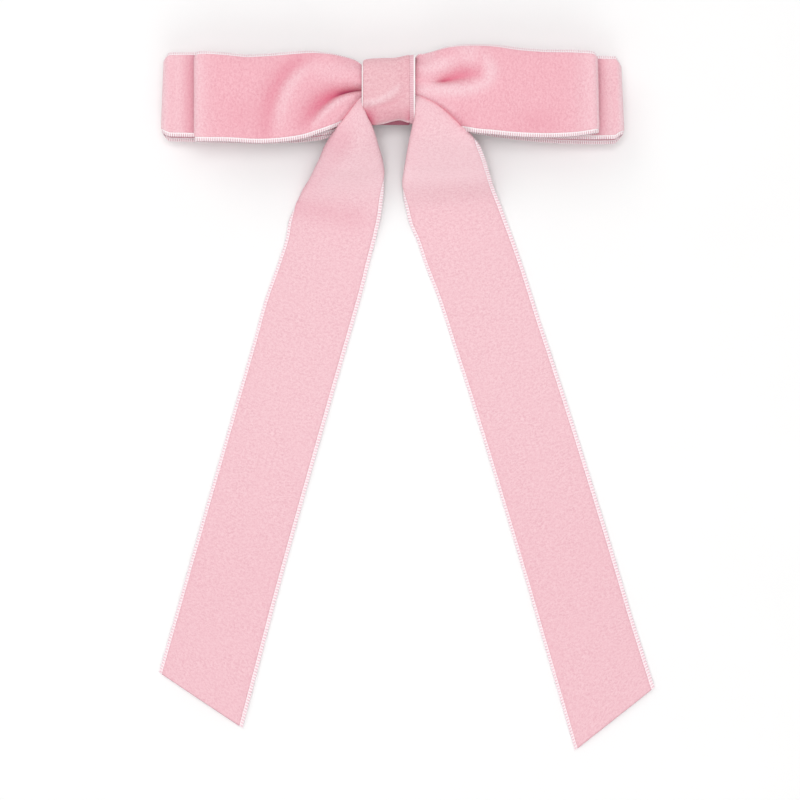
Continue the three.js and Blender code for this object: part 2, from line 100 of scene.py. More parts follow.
# ---------------------------------------------------------------- mesh making
def mesh_object(name, verts, quads, mats, mat_index=None, attrs=None, smooth_shade=True, tris=None):
    """verts in mm."""
    me = bpy.data.meshes.new(name)
    verts = np.asarray(verts, float) * MM
    quads = np.asarray(quads, int)
    nq = len(quads)
    nt = 0 if tris is None else len(tris)
    me.vertices.add(len(verts))
    me.vertices.foreach_set("co", verts.astype(np.float32).ravel())
    loops = quads.ravel()
    if nt:
        loops = np.concatenate([loops, np.asarray(tris, int).ravel()])
    me.loops.add(len(loops))
    me.loops.foreach_set("vertex_index", loops.astype(np.int32))
    me.polygons.add(nq + nt)
    starts = np.concatenate([np.arange(nq) * 4, nq * 4 + np.arange(nt) * 3]).astype(np.int32)
    me.polygons.foreach_set("loop_start", starts)
    if mat_index is not None:
        me.polygons.foreach_set("material_index", np.asarray(mat_index, np.int32))
    me.polygons.foreach_set("use_smooth", np.full(nq + nt, smooth_shade))
    me.update(calc_edges=True)
    me.validate()
    for m in mats:
        me.materials.append(m)
    for key, val in (attrs or {}).items():
        val = np.asarray(val, np.float32)
        if val.ndim == 1:
            a = me.attributes.new(key, "FLOAT", "POINT")
            a.data.foreach_set("value", val)
        else:
            a = me.attributes.new(key, "FLOAT_VECTOR", "POINT")
            a.data.foreach_set("vector", val.ravel())
    ob = bpy.data.objects.new(name, me)
    bpy.context.scene.collection.objects.link(ob)
    return ob


def thick_sheet(name, mid, nrm, front, back, mats, attrs, closed=False, edge_mat=1):
    """A closed sheet round a grid of middle points mid[along, across]: front and back are offsets along nrm.
    Material 0 is the front, 1 the back."""
    n, m = mid.shape[:2]
    F = mid + nrm * front[..., None]
    B = mid + nrm * back[..., None]
    verts = np.concatenate([F.reshape(-1, 3), B.reshape(-1, 3)])
    idx = np.arange(n * m).reshape(n, m)
    rows = n if closed else n - 1
    i0 = np.arange(rows)
    i1 = (i0 + 1) % n
    j0 = np.arange(m - 1)
    a = idx[np.ix_(i0, j0)].ravel()
    b = idx[np.ix_(i0, j0 + 1)].ravel()
    c = idx[np.ix_(i1, j0 + 1)].ravel()
    d = idx[np.ix_(i1, j0)].ravel()
    fq = np.stack([a, b, c, d], 1)
    o = n * m
    bq = np.stack([a + o, d + o, c + o, b + o], 1)
    parts, mi = [fq, bq], [np.zeros(len(fq)), np.ones(len(bq))]
    for j, flip in ((0, False), (m - 1, True)):
        p, q = idx[i0, j], idx[i1, j]
        e = np.stack([p, q, q + o, p + o], 1) if not flip else np.stack([q, p, p + o, q + o], 1)
        parts.append(e)
        mi.append(np.full(len(e), edge_mat))
    if not closed:
        for i, flip in ((0, True), (n - 1, False)):
            p, q = idx[i, j0], idx[i, j0 + 1]
            e = np.stack([p, q, q + o, p + o], 1) if not flip else np.stack([q, p, p + o, q + o], 1)
            parts.append(e)
            mi.append(np.full(len(e), edge_mat))
    quads = np.concatenate(parts)
    mi = np.concatenate(mi)
    # the faces point out: the front's first face is tested against the normal there
    v = verts[fq[len(fq) // 2]]
    if np.dot(np.cross(v[1] - v[0], v[2] - v[1]), nrm.reshape(-1, 3)[fq[len(fq) // 2][0]]) < 0:
        quads = quads[:, ::-1]
    full = {}
    for k, val in attrs.items():
        val = np.asarray(val, float)
        flat = val.reshape(n * m, -1) if val.ndim == 3 else val.reshape(n * m)
        full[k] = np.concatenate([flat, flat])
    return mesh_object(name, verts, quads, mats, mi, full)


# ---------------------------------------------------------------- materials
def new_material(name):
    m = bpy.data.materials.new(name)
    m.use_nodes = True
    nt = m.node_tree
    nt.nodes.clear()
    out = nt.nodes.new("ShaderNodeOutputMaterial")
    bs = nt.nodes.new("ShaderNodeBsdfPrincipled")
    nt.links.new(bs.outputs["BSDF"], out.inputs["Surface"])
    return m, nt, bs


def N(nt, kind, **props):
    n = nt.nodes.new(kind)
    for k, v in props.items():
        setattr(n, k, v)
    return n


def srgb(r, g, b):
    def f(c):
        c /= 255
        return c / 12.92 if c <= 0.04045 else ((c + 0.055) / 1.055) ** 2.4

    return (f(r), f(g), f(b), 1)


def noise(nt, vec, scale, detail=3, rough=0.55, distortion=0.0):
    n = N(nt, "ShaderNodeTexNoise")
    n.inputs["Scale"].default_value = scale
    n.inputs["Detail"].default_value = detail
    n.inputs["Roughness"].default_value = rough
    n.inputs["Distortion"].default_value = distortion
    nt.links.new(vec, n.inputs["Vector"])
    return n.outputs["Fac"]


def mapped(nt, vec, scale=(1, 1, 1), loc=(0, 0, 0)):
    n = N(nt, "ShaderNodeMapping")
    n.inputs["Scale"].default_value = scale
    n.inputs["Location"].default_value = loc
    nt.links.new(vec, n.inputs["Vector"])
    return n.outputs["Vector"]


def ranged(nt, fac, a, b, c=0.0, d=1.0):
    n = N(nt, "ShaderNodeMapRange")
    n.inputs["From Min"].default_value = a
    n.inputs["From Max"].default_value = b
    n.inputs["To Min"].default_value = c
    n.inputs["To Max"].default_value = d
    nt.links.new(fac, n.inputs["Value"])
    return n.outputs["Result"]


def math_node(nt, op, a, b=None):
    n = N(nt, "ShaderNodeMath", operation=op)
    for i, x in enumerate((a, b)):
        if x is None:
            continue
        if isinstance(x, (int, float)):
            n.inputs[i].default_value = x
        else:
            nt.links.new(x, n.inputs[i])
    return n.outputs[0]


def mix_rgb(nt, fac, a, b, mode="MIX"):
    n = N(nt, "ShaderNodeMix", data_type="RGBA", blend_type=mode)
    for sock, x in ((n.inputs[0], fac), (n.inputs[6], a), (n.inputs[7], b)):
        if isinstance(x, (int, float)):
            sock.default_value = x
        elif isinstance(x, tuple):
            sock.default_value = x
        else:
            nt.links.new(x, sock)
    return n.outputs[2]


def bump(nt, bs, *layers):
    """layers: (height socket, distance in m, strength)"""
    last = None
    for height, distance, strength in layers:
        b = N(nt, "ShaderNodeBump")
        b.inputs["Distance"].default_value = distance
        b.inputs["Strength"].default_value = strength
        nt.links.new(height, b.inputs["Height"])
        if last is not None:
            nt.links.new(last, b.inputs["Normal"])
        last = b.outputs["Normal"]
    nt.links.new(last, bs.inputs["Normal"])


def attribute(nt, name):
    return N(nt, "ShaderNodeAttribute", attribute_name=name)


def velvet(name, base, light, dark, pink_shade, open_pile_and_highlight, sheen=0.35, seed=0.0):
    """Cut pile: short fibres in tufts, leaning a little this way and that. The attributes: rib is (across, along) in
    mm; the other three paint
    light and shade into the colour: a deep pink as painted shade in folds, a pale pink as painted highlight on ridges
    and ends (where at tight end folds the pile also opens over the ground cloth), and a dark mauve as painted shade in
    creases and where parts press together."""
    m, nt, bs = new_material(name)
    obj = N(nt, "ShaderNodeTexCoord").outputs["Object"]
    rib = attribute(nt, "rib").outputs["Vector"]
    tuft = noise(nt, mapped(nt, rib, (1.0, 0.85, 1.0), (seed, seed * 1.7, 0)), 2.9, 2, 0.6)
    lean = noise(nt, mapped(nt, rib, (0.85, 1.15, 1.0), (seed * 2.1, 3.0, 0)), 1.5, 3, 0.72, 0.5)
    broad = noise(nt, mapped(nt, rib, (1, 0.7, 1), (seed, 9.0, 0)), 0.16, 3, 0.55)
    a = ranged(nt, tuft, 0.32, 0.68)
    b = ranged(nt, lean, 0.38, 0.62)
    c = ranged(nt, broad, 0.35, 0.65)
    grain = math_node(nt, "ADD", math_node(nt, "MULTIPLY", a, 0.42), math_node(nt, "MULTIPLY", b, 0.58))
    col = mix_rgb(nt, ranged(nt, grain, 0.1, 0.55, 0.12, 1.0), dark, base)
    col = mix_rgb(nt, ranged(nt, grain, 0.5, 0.95, 0.0, 0.85), col, light)
    col = mix_rgb(nt, math_node(nt, "MULTIPLY", c, 0.35), col, base)
    # painted shade in folds, then painted highlight, then dark painted shade
    col = mix_rgb(nt, attribute(nt, "pink_shade").outputs["Fac"], col, pink_shade)
    col = mix_rgb(nt, math_node(nt, "MULTIPLY", attribute(nt, "open_pile_and_highlight").outputs["Fac"], ranged(nt, grain, 0.2, 0.8, 0.75, 1.2)), col, open_pile_and_highlight)
    # painted shade: a dark mauve laid over the colour
    col = mix_rgb(nt, attribute(nt, "shade").outputs["Fac"], col, (0.25, 0.035, 0.085, 1))
    nt.links.new(col, bs.inputs["Base Color"])
    nt.links.new(ranged(nt, tuft, 0.2, 0.8, 0.95, 0.78), bs.inputs["Roughness"])
    fine = noise(nt, obj, 5200.0, 2, 0.6)
    bump(nt, bs, (tuft, 0.00014, 0.55), (fine, 0.00007, 0.5), (lean, 0.00025, 0.3))
    bs.inputs["Specular IOR Level"].default_value = 0.12
    bs.inputs["Sheen Weight"].default_value = sheen
    bs.inputs["Sheen Roughness"].default_value = 0.42
    bs.inputs["Sheen Tint"].default_value = (1.0, 0.9, 0.93, 1)
    return m


def satin_back(name, base, dark):
    """The woven ground seen from the back: fine floats along the ribbon."""
    m, nt, bs = new_material(name)
    rib = attribute(nt, "rib").outputs["Vector"]
    obj = N(nt, "ShaderNodeTexCoord").outputs["Object"]
    warp = N(nt, "ShaderNodeTexWave", wave_type="BANDS", bands_direction="X", wave_profile="SIN")
    warp.inputs["Scale"].default_value = 1.25
    warp.inputs["Distortion"].default_value = 0.35
    warp.inputs["Detail"].default_value = 1
    nt.links.new(rib, warp.inputs["Vector"])
    weft = N(nt, "ShaderNodeTexWave", wave_type="BANDS", bands_direction="Y", wave_profile="SIN")
    weft.inputs["Scale"].default_value = 0.85
    weft.inputs["Distortion"].default_value = 0.3
    nt.links.new(rib, weft.inputs["Vector"])
    w = math_node(nt, "MULTIPLY", warp.outputs["Fac"], weft.outputs["Fac"])
    n = noise(nt, obj, 900, 4)
    f = math_node(nt, "ADD", math_node(nt, "MULTIPLY", w, 0.55), math_node(nt, "MULTIPLY", n, 0.5))
    nt.links.new(mix_rgb(nt, f, dark, base), bs.inputs["Base Color"])
    nt.links.new(ranged(nt, n, 0.3, 0.7, 0.5, 0.66), bs.inputs["Roughness"])
    bump(nt, bs, (w, 0.00006, 0.6), (n, 0.00005, 0.3))
    bs.inputs["Specular IOR Level"].default_value = 0.3
    bs.inputs["Sheen Weight"].default_value = 0.1
    return m


def selvage_material(name, crest, gap, line):
    """The woven edge: bundled threads across with the pink ground between them (attribute gap), and the single thread
    that runs along it (attribute line)."""
    m, nt, bs = new_material(name)
    rib = attribute(nt, "rib").outputs["Vector"]
    th = noise(nt, mapped(nt, rib, (1.6, 6.0, 1)), 3.0, 3, 0.6)
    spot = noise(nt, mapped(nt, rib, (0.3, 0.35, 1)), 1.0, 3, 0.6)
    g = math_node(nt, "MULTIPLY", attribute(nt, "gap").outputs["Fac"], ranged(nt, spot, 0.25, 0.75, 0.7, 1.1))
    col = mix_rgb(nt, g, crest, gap)
    col = mix_rgb(nt, math_node(nt, "MULTIPLY", ranged(nt, th, 0.45, 0.75), 0.25), col, gap)
    col = mix_rgb(nt, attribute(nt, "line").outputs["Fac"], col, line)
    nt.links.new(col, bs.inputs["Base Color"])
    nt.links.new(ranged(nt, th, 0.3, 0.7, 0.55, 0.75), bs.inputs["Roughness"])
    bump(nt, bs, (th, 0.00004, 0.6))
    bs.inputs["Specular IOR Level"].default_value = 0.3
    bs.inputs["Sheen Weight"].default_value = 0.15
    return m


def grosgrain_material(name, base, dark):
    m, nt, bs = new_material(name)
    rib = attribute(nt, "rib").outputs["Vector"]
    obj = N(nt, "ShaderNodeTexCoord").outputs["Object"]
    th = noise(nt, mapped(nt, rib, (0.6, 5.0, 1)), 2.4, 3, 0.6)
    g = attribute(nt, "gap").outputs["Fac"]
    col = mix_rgb(nt, math_node(nt, "MULTIPLY", g, 0.8), base, dark)
    col = mix_rgb(nt, math_node(nt, "MULTIPLY", ranged(nt, th, 0.45, 0.8), 0.35), col, dark)
    nt.links.new(col, bs.inputs["Base Color"])
    nt.links.new(ranged(nt, th, 0.3, 0.7, 0.6, 0.8), bs.inputs["Roughness"])
    bump(nt, bs, (th, 0.00005, 0.5), (noise(nt, obj, 6000, 2), 0.00003, 0.4))
    return m


def thread_material(name, base, dark):
    m, nt, bs = new_material(name)
    obj = N(nt, "ShaderNodeTexCoord").outputs["Object"]
    ply = N(nt, "ShaderNodeTexWave", wave_type="BANDS", bands_direction="DIAGONAL", wave_profile="SIN")
    ply.inputs["Scale"].default_value = 900
    ply.inputs["Distortion"].default_value = 0.5
    nt.links.new(obj, ply.inputs["Vector"])
    n = noise(nt, obj, 3000, 3)
    nt.links.new(mix_rgb(nt, ply.outputs["Fac"], dark, base), bs.inputs["Base Color"])
    nt.links.new(ranged(nt, n, 0.3, 0.7, 0.5, 0.7), bs.inputs["Roughness"])
    bump(nt, bs, (ply.outputs["Fac"], 0.00006, 0.7))
    return m


def metal(name, base, dark, rough=(0.22, 0.4), brush=(60, 2600, 2600), wear=0.5):
    """Plated strip steel: fine lines from rolling, small scuffs, and a duller bloom where it is handled."""
    m, nt, bs = new_material(name)
    obj = N(nt, "ShaderNodeTexCoord").outputs["Object"]
    lines = noise(nt, mapped(nt, obj, brush), 1.0, 4, 0.65)
    bloom = noise(nt, obj, 140, 4, 0.55, 0.4)
    scuff = N(nt, "ShaderNodeTexVoronoi", feature="DISTANCE_TO_EDGE")
    scuff.inputs["Scale"].default_value = 420
    nt.links.new(mapped(nt, obj, (1, 2.6, 1.4)), scuff.inputs["Vector"])
    s = ranged(nt, scuff.outputs["Distance"], 0.0, 0.05, 1.0, 0.0)
    s = math_node(nt, "MULTIPLY", s, ranged(nt, bloom, 0.5, 0.7))
    f = math_node(nt, "ADD", math_node(nt, "MULTIPLY", lines, 0.5), math_node(nt, "MULTIPLY", bloom, 0.5))
    col = mix_rgb(nt, ranged(nt, f, 0.38, 0.62), dark, base)
    col = mix_rgb(nt, math_node(nt, "MULTIPLY", s, wear), col, (0.85, 0.84, 0.82, 1))
    nt.links.new(col, bs.inputs["Base Color"])
    r = math_node(nt, "ADD", ranged(nt, f, 0.35, 0.65, rough[1], rough[0]), math_node(nt, "MULTIPLY", s, 0.12))
    nt.links.new(r, bs.inputs["Roughness"])
    bs.inputs["Metallic"].default_value = 1.0
    bump(nt, bs, (lines, 0.00001, 0.5), (s, 0.00001, 0.3))
    return m


# One velvet in four tones, for how its pile takes the light on each part: painted light. In each set the deep pink is
# painted shade and the palest pink painted highlight.
LOOP_COLS = dict(
    base=srgb(240, 180, 191), light=srgb(246, 196, 205), dark=srgb(228, 160, 174),
    pink_shade=srgb(210, 84, 118), open_pile_and_highlight=srgb(248, 222, 227),
)
LOWER_COLS = dict(
    base=srgb(240, 190, 199), light=srgb(246, 204, 211), dark=srgb(229, 172, 184),
    pink_shade=srgb(200, 100, 126), open_pile_and_highlight=srgb(248, 224, 229),
)
TAIL_COLS = dict(
    base=srgb(241, 197, 205), light=srgb(247, 211, 217), dark=srgb(229, 177, 188),
    pink_shade=srgb(222, 140, 160), open_pile_and_highlight=srgb(253, 217, 224),
)
WRAP_COLS = dict(
    base=srgb(235, 186, 193), light=srgb(242, 201, 207), dark=srgb(223, 165, 176),
    pink_shade=srgb(208, 82, 118), open_pile_and_highlight=srgb(249, 226, 230),
)
M_LOOP = velvet("velvet_loops", **LOOP_COLS, sheen=0.3, seed=1.0)
M_LOWER = velvet("velvet_lower_loop", **LOWER_COLS, sheen=0.3, seed=5.0)
M_TAIL = velvet("velvet_tails", **TAIL_COLS, sheen=0.3, seed=2.3)
M_WRAP = velvet("velvet_wrap", **WRAP_COLS, sheen=0.25, seed=3.7)
M_BACK = satin_back("ribbon_back", srgb(240, 188, 200), srgb(222, 160, 175))
M_SELV = selvage_material("selvage", srgb(253, 249, 250), srgb(214, 166, 178), srgb(253, 249, 250))
M_SELV_TAIL = selvage_material("selvage_tails", srgb(253, 243, 246), srgb(232, 184, 196), srgb(246, 222, 228))
M_SELV_WRAP = selvage_material("selvage_wrap", srgb(240, 206, 213), srgb(222, 170, 182), srgb(253, 248, 248))
M_GROS = grosgrain_material("grosgrain_lining", srgb(246, 238, 238), srgb(214, 198, 200))
M_THREAD = thread_material("thread_twist", srgb(246, 232, 234), srgb(214, 186, 192))
M_NICKEL = metal("nickel_steel", (0.68, 0.675, 0.66, 1), (0.52, 0.52, 0.515, 1))
M_SPRING = metal("spring_steel", (0.6, 0.6, 0.6, 1), (0.44, 0.445, 0.45, 1), rough=(0.2, 0.34))
M_PIN = metal("pin_steel", (0.57, 0.565, 0.56, 1), (0.42, 0.42, 0.42, 1), rough=(0.28, 0.42), brush=(900, 900, 900))

# ---------------------------------------------------------------- camera
cam_data = bpy.data.cameras.new("camera")
cam_data.sensor_width = 36
cam_data.lens = 36 * 728 / 218
cam_data.clip_start = 0.01
cam_data.clip_end = 20
cam = bpy.data.objects.new("camera", cam_data)
cam.location = (0.00306, -0.0809, 0.728)
cam.rotation_euler = (0, 0, 0)
bpy.context.scene.collection.objects.link(cam)
bpy.context.scene.camera = cam

RIBBON = 25.4


def spread(a, b, step, fine=()):
    """Even samples from a to b, with extra ones."""
    n = max(int(round((b - a) / step)), 1)
    x = np.concatenate([np.linspace(a, b, n + 1), np.asarray(fine, float)])
    return np.unique(np.round(x, 5))


SELV = 1.25  # width of the woven edge that shows
LOOP_TOP = 1.2  # and of the loops' far edge, where the pile leans over it
TAIL_EDGE = (1.0, 1.2)  # on the tails, left and right
PITCH = 0.6  # of its threads


def across(total, first, second, step):
    """Places across a ribbon for its velvet, close together at the pile's two shoulders."""
    a, b = first, total - second
    return spread(a, b, step, [a + 0.08, a + 0.2, a + 0.38, b - 0.08, b - 0.2, b - 0.38])


def selvage(name, at, u_of, length, side, mats, body, closed=False, width=SELV, total=RIBBON, tooth=0.26, style="open", thread=0.5, pitch=PITCH, sharp=1.1):
    """One woven edge. at(u, s) gives points and normals for arrays of along and across places; side is 0 for the edge
    at s = 0 and 1 for the edge at s = total. u_of(d) turns a distance along the edge into u. An open edge ends in
    teeth, a corded one in a thread that runs straight."""
    teeth = max(int(round(length / pitch)), 4)
    per = 6
    n = teeth * per + (0 if closed else 1)
    d = np.linspace(0, length, teeth * per + 1)[:n]
    u = u_of(d)
    phase = d / length * teeth
    rib = (0.5 + 0.5 * np.cos(2 * pi * phase)) ** sharp
    e = np.array([0.0, 0.07, 0.16, 0.28, 0.42, 0.6, 0.8, width * 0.85, width + 0.1])
    E = np.repeat(e[None, :], n, 0)
    R = np.repeat(rib[:, None], len(e), 1)
    S = E + (tooth if style == "open" else 0.04) * (1 - R) * np.clip(1 - E / (0.3 + tooth), 0, 1)
    s = S if side == 0 else total - S
    U = np.repeat(u[:, None], len(e), 1)
    P, Nn = at(U, s)
    inner = smooth(E, 0.55 * width, 0.8 * width)
    if style == "open":
        cord = np.zeros_like(E)
        inner = smooth(E, 0.72 * width, 0.9 * width)
        line = thread * inner
        gap = (1 - R) * (1 - 0.6 * inner)
        lift = 0.03 + 0.13 * R * (1 - inner) + 0.08 * inner
    else:
        cord = np.exp(-(((E - 0.2) / 0.17) ** 2))
        line = np.clip(1.15 * (1 - smooth(E, 0.34, 0.46)), 0, 1)
        gap = (0.25 + 0.75 * (1 - R)) * smooth(E, 0.36, 0.5)
        lift = 0.03 + 0.15 * cord + (0.02 + 0.12 * R) * smooth(E, 0.36, 0.5)
    front = np.where(E < 0.03, 0.02, lift)
    back = np.where(E < 0.03, -0.05, -(0.11 + 0.05 * R * (1 - inner)))
    ribv = np.stack([s, np.repeat(d[:, None], len(e), 1), np.zeros_like(s)], -1)
    ob = thick_sheet(name, P, Nn, front, back, [mats, mats], {"rib": ribv, "gap": np.clip(gap, 0, 1), "line": line}, closed)
    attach(ob, body)
    return ob


# ---------------------------------------------------------------- tails
# Visible edges of each tail, in mm: left x, y, right x, y, height of the crown, how far the edges drop below it,
# how much of the ribbon's spare width is turned under, and the share of that on the left.
LEFT_ROWS = [
    (-3.90, 1.80, -3.10, -0.60, 15.9, 0.05, 0.10, 0.7),
    (-7.05, 0.00, -6.20, -1.75, 16.3, 0.10, 0.10, 0.7),
    (-8.58, -1.98, -7.32, -2.25, 16.9, 0.25, 0.15, 0.8),
    (-9.85, -3.70, -6.52, -3.96, 17.3, 0.45, 0.25, 0.8),
    (-11.45, -5.81, -5.61, -6.07, 17.5, 0.80, 0.5, 0.75),
    (-13.05, -7.75, -4.65, -7.89, 17.3, 1.10, 0.65, 0.7),
    (-14.80, -10.02, -3.85, -10.16, 16.4, 1.50, 0.8, 0.6),
    (-16.45, -12.37, -3.10, -12.63, 14.7, 1.90, 1, 0.52),
    (-17.45, -14.33, -2.45, -14.60, 12.9, 2.00, 1, 0.56),
    (-18.45, -16.42, -1.87, -16.82, 10.8, 2.10, 1, 0.66),
    (-19.80, -18.77, -1.50, -19.31, 8.3, 2.00, 1, 0.76),
    (-21.20, -21.30, -1.35, -22.38, 5.9, 1.70, 1, 0.86),
    (-23.00, -24.01, -1.55, -26.04, 3.8, 1.30, 0.9, 0.94),
    (-24.90, -27.72, -2.05, -30.85, 2.1, 0.80, 0.6, 1),
    (-26.75, -31.50, -3.34, -35.71, 1.2, 0.40, 0.25, 1),
    (-28.00, -37.24, -5.14, -42.24, 0.75, 0.15, 0.05, 0.5),
    (-30.00, -43.26, -6.80, -49.31, 0.55, 0.03, 0, 0.5),
    (-33.70, -53.66, -9.82, -60.36, 0.48, 0, 0, 0.5),
    (-36.70, -64.56, -12.95, -71.24, 0.46, 0, 0, 0.5),
    (-41.38, -80.86, -17.60, -87.58, 0.46, 0, 0, 0.5),
    (-46.04, -97.20, -22.20, -103.94, 0.46, 0, 0, 0.5),
    (-50.74, -113.55, -26.76, -120.30, 0.46, 0, 0, 0.5),
    (-55.39, -129.90, -31.21, -136.70, 0.46, 0, 0, 0.5),
]
LEFT_CUT = (-62.50, -154.98, -39.95, -170.23)
RIGHT_ROWS = [
    (2.60, 0.00, 3.80, 2.40, 15.9, 0.05, 0.10, 0.3),
    (5.75, -0.30, 6.75, 1.20, 16.4, 0.10, 0.10, 0.3),
    (6.89, -0.32, 8.52, -0.20, 17.0, 0.25, 0.15, 0.2),
    (7.05, -1.47, 11.10, -1.42, 17.5, 0.45, 0.25, 0.2),
    (7.40, -3.33, 14.00, -3.33, 17.8, 0.80, 0.5, 0.25),
    (7.30, -5.16, 16.10, -5.11, 17.9, 1.10, 0.65, 0.35),
    (6.75, -7.44, 18.60, -7.31, 17.6, 1.40, 0.8, 0.5),
    (6.25, -9.67, 20.60, -9.14, 16.8, 1.50, 0.9, 0.7),
    (5.70, -12.27, 23.50, -11.82, 15.1, 1.70, 1, 0.9),
    (5.30, -14.48, 25.00, -13.95, 13.2, 1.80, 1, 0.98),
    (4.90, -16.72, 26.00, -15.91, 11.2, 1.70, 1, 1),
    (4.45, -19.21, 26.85, -18.13, 8.7, 1.50, 1, 1),
    (4.05, -21.87, 27.70, -20.52, 6.3, 1.20, 1, 1),
    (4.03, -24.97, 28.55, -22.94, 4.0, 0.90, 0.9, 1),
    (4.47, -28.41, 29.60, -25.42, 2.2, 0.50, 0.6, 1),
    (5.56, -32.58, 30.60, -28.42, 1.2, 0.25, 0.25, 0.9),
    (7.80, -37.78, 32.10, -32.65, 0.75, 0.10, 0, 0.5),
    (9.60, -43.23, 33.95, -37.53, 0.55, 0.02, 0, 0.5),
    (13.60, -53.63, 37.05, -46.54, 0.48, 0, 0, 0.5),
    (17.10, -64.46, 40.45, -57.37, 0.46, 0, 0, 0.5),
    (22.35, -80.71, 45.75, -73.58, 0.46, 0, 0, 0.5),
    (27.40, -97.02, 50.95, -89.82, 0.46, 0, 0, 0.5),
    (32.35, -113.36, 56.00, -106.13, 0.46, 0, 0, 0.5),
    (37.20, -129.73, 60.98, -122.45, 0.46, 0, 0, 0.5),
    (41.95, -146.13, 65.80, -138.83, 0.46, 0, 0, 0.5),
]
RIGHT_CUT = (50.75, -176.36, 72.20, -159.06)


class Tail:
    def __init__(self, rows, cut, seed):
        r = np.array(rows, float)
        cut = np.array(cut, float)
        # where it lies flat the teeth of the selvages reach a little past the rows
        flat = (1 - smooth(r[:, 4], 0.75, 2.5))[:, None]
        wide = unit(r[:, 2:4] - r[:, 0:2])
        r[:, 0:2] -= 0.2 * flat * wide
        r[:, 2:4] += 0.35 * flat * wide
        cut[0:2] -= 0.2 * wide[-1]
        cut[2:4] += 0.35 * wide[-1]
        mid = (r[:, 0:2] + r[:, 2:4]) / 2
        C = np.column_stack([mid, r[:, 4]])
        step = np.linalg.norm(np.diff(C, axis=0), axis=1)
        self.t = np.concatenate([[0], np.cumsum(step)])
        self.r = r
        self.straight = self.t[-1]
        self.cut = cut
        end = (self.cut[0:2] + self.cut[2:4]) / 2
        self.tail = np.linalg.norm(end - mid[-1])
        self.length = self.straight + self.tail
        self.half = RIBBON / 2
        self.seed = seed

    def row(self, t):
        return hermite(self.t, self.r, t)

    def frames(self, t):
        v = self.row(t)
        mid = np.column_stack([(v[:, 0:2] + v[:, 2:4]) / 2, v[:, 4]])
        e = 0.5
        a, b = self.row(np.maximum(t - e, 0)), self.row(np.minimum(t + e, self.straight))
        T = unit(
            np.column_stack([(b[:, 0:2] + b[:, 2:4]) / 2, b[:, 4]])
            - np.column_stack([(a[:, 0:2] + a[:, 2:4]) / 2, a[:, 4]])
        )
        h2 = (v[:, 2:4] - v[:, 0:2]) / 2
        w = np.linalg.norm(h2, axis=1)
        H = np.column_stack([h2 / w[:, None], np.zeros(len(w))])
        Nn = unit(np.cross(H, T))
        Nn[Nn[:, 2] < 0] *= -1
        return v, mid, H, Nn, w

    def section(self, w, b, room):
        """A half section as (out, down) against length: an elliptic shoulder, then an open fold under it."""
        n = 48
        g = min(0.28 * w, 2.6)
        e = max(min(0.16 * w, 2.2, room), 0.02)
        k = np.linspace(0, pi / 2, n)
        top = np.stack([w * np.sin(k), b * (1 - np.cos(k))], 1)
        q = np.linspace(0, pi / 2, 24)[1:]
        low = np.stack([w - g * (1 - np.cos(q)), b + e * np.sin(q)], 1)
        leg = np.array([[w - g - 0.45 * w, b + e * 0.92]])
        pts = np.concatenate([top, low, leg])
        L = np.concatenate([[0], np.cumsum(np.linalg.norm(np.diff(pts, axis=0), axis=1))])
        return pts, L, L[n - 1]

    def at(self, t, s):
        """Middle-surface points for arrays of along t (rows share one t) and across s in mm."""
        t1 = t[:, 0]
        tc = np.minimum(t1, self.straight)
        v, mid, H, Nn, w = self.frames(tc)
        P = np.empty(t.shape + (3,))
        for i in range(len(t1)):
            shares = (v[i, 7], 1 - v[i, 7])
            # an edge with nothing turned under it hardly drops, so its selvage is seen
            drops = [v[i, 5] * lerp(0.2, 1.0, smooth(share, 0.0, 0.3)) for share in shares]
            parts = [self.section(w[i], b, v[i, 4] - b - 0.5) for b in drops]
            spare = max(RIBBON - parts[0][2] - parts[1][2], 0) * v[i, 6]
            wl, wr = (min(arc + spare * share, L[-1]) for (_, L, arc), share in zip(parts, shares))
            q = s[i] * (wl + wr) / RIBBON - wl
            for side, (pts, L, _), b in zip((-1, 1), parts, drops):
                sel = q * side >= 0
                if not sel.any():
                    continue
                d = np.abs(q[sel])
                out = np.interp(d, L, pts[:, 0])
                down = np.interp(d, L, pts[:, 1])
                shift = lerp((drops[0] + drops[1]) / 2, b, (out / w[i]) ** 2)  # so that the edge is where it is seen
                base = mid[i] + (Nn[i] * np.array([1, 1, 0])) * shift[:, None]
                P[i][sel] = base + H[i] * (side * out)[:, None] - Nn[i] * down[:, None]
        last = t1 > self.straight
        if last.any():
            f = ((t1[last] - self.straight) / self.tail)[:, None, None]
            u = (s[last] / RIBBON)[..., None]
            a = self.r[-1]
            A = a[0:2] * (1 - u) + a[2:4] * u
            B = self.cut[0:2] * (1 - u) + self.cut[2:4] * u
            xy = A * (1 - f) + B * f
            P[last] = np.concatenate([xy, np.full(xy.shape[:-1] + (1,), a[4])], -1)
        # where it lies down the ribbon is not quite flat
        tt = t
        lie = smooth(tt, 75, 95)
        wave = 0.16 * np.sin(tt / 13.0 + self.seed) * np.sin(s / 9.0 + tt / 31.0 + self.seed) + 0.16
        cup = 0.18 * (1 - ((s - self.half) / self.half) ** 2)
        P[..., 2] += lie * (wave + cup) * 0.9
        P[..., 2] = np.maximum(P[..., 2], 0.3)
        return P

    def at_n(self, t, s):
        P = self.at(t, s)
        e = 0.12
        Pa = self.at(np.maximum(t - e, 0), s)
        Pb = self.at(np.minimum(t + e, self.length), s)
        Sa = self.at(t, np.clip(s - e, 0, RIBBON))
        Sb = self.at(t, np.clip(s + e, 0, RIBBON))
        Nn = unit(np.cross(Sb - Sa, Pb - Pa))
        # the velvet is on the side away from the floor along the crown
        mid = self.at(t[:, :1], np.full((len(t), 1), self.half))
        flip = -1 if np.cross([1, 0, 0], [0, -1, 0])[2] < 0 else 1
        return P, Nn * flip


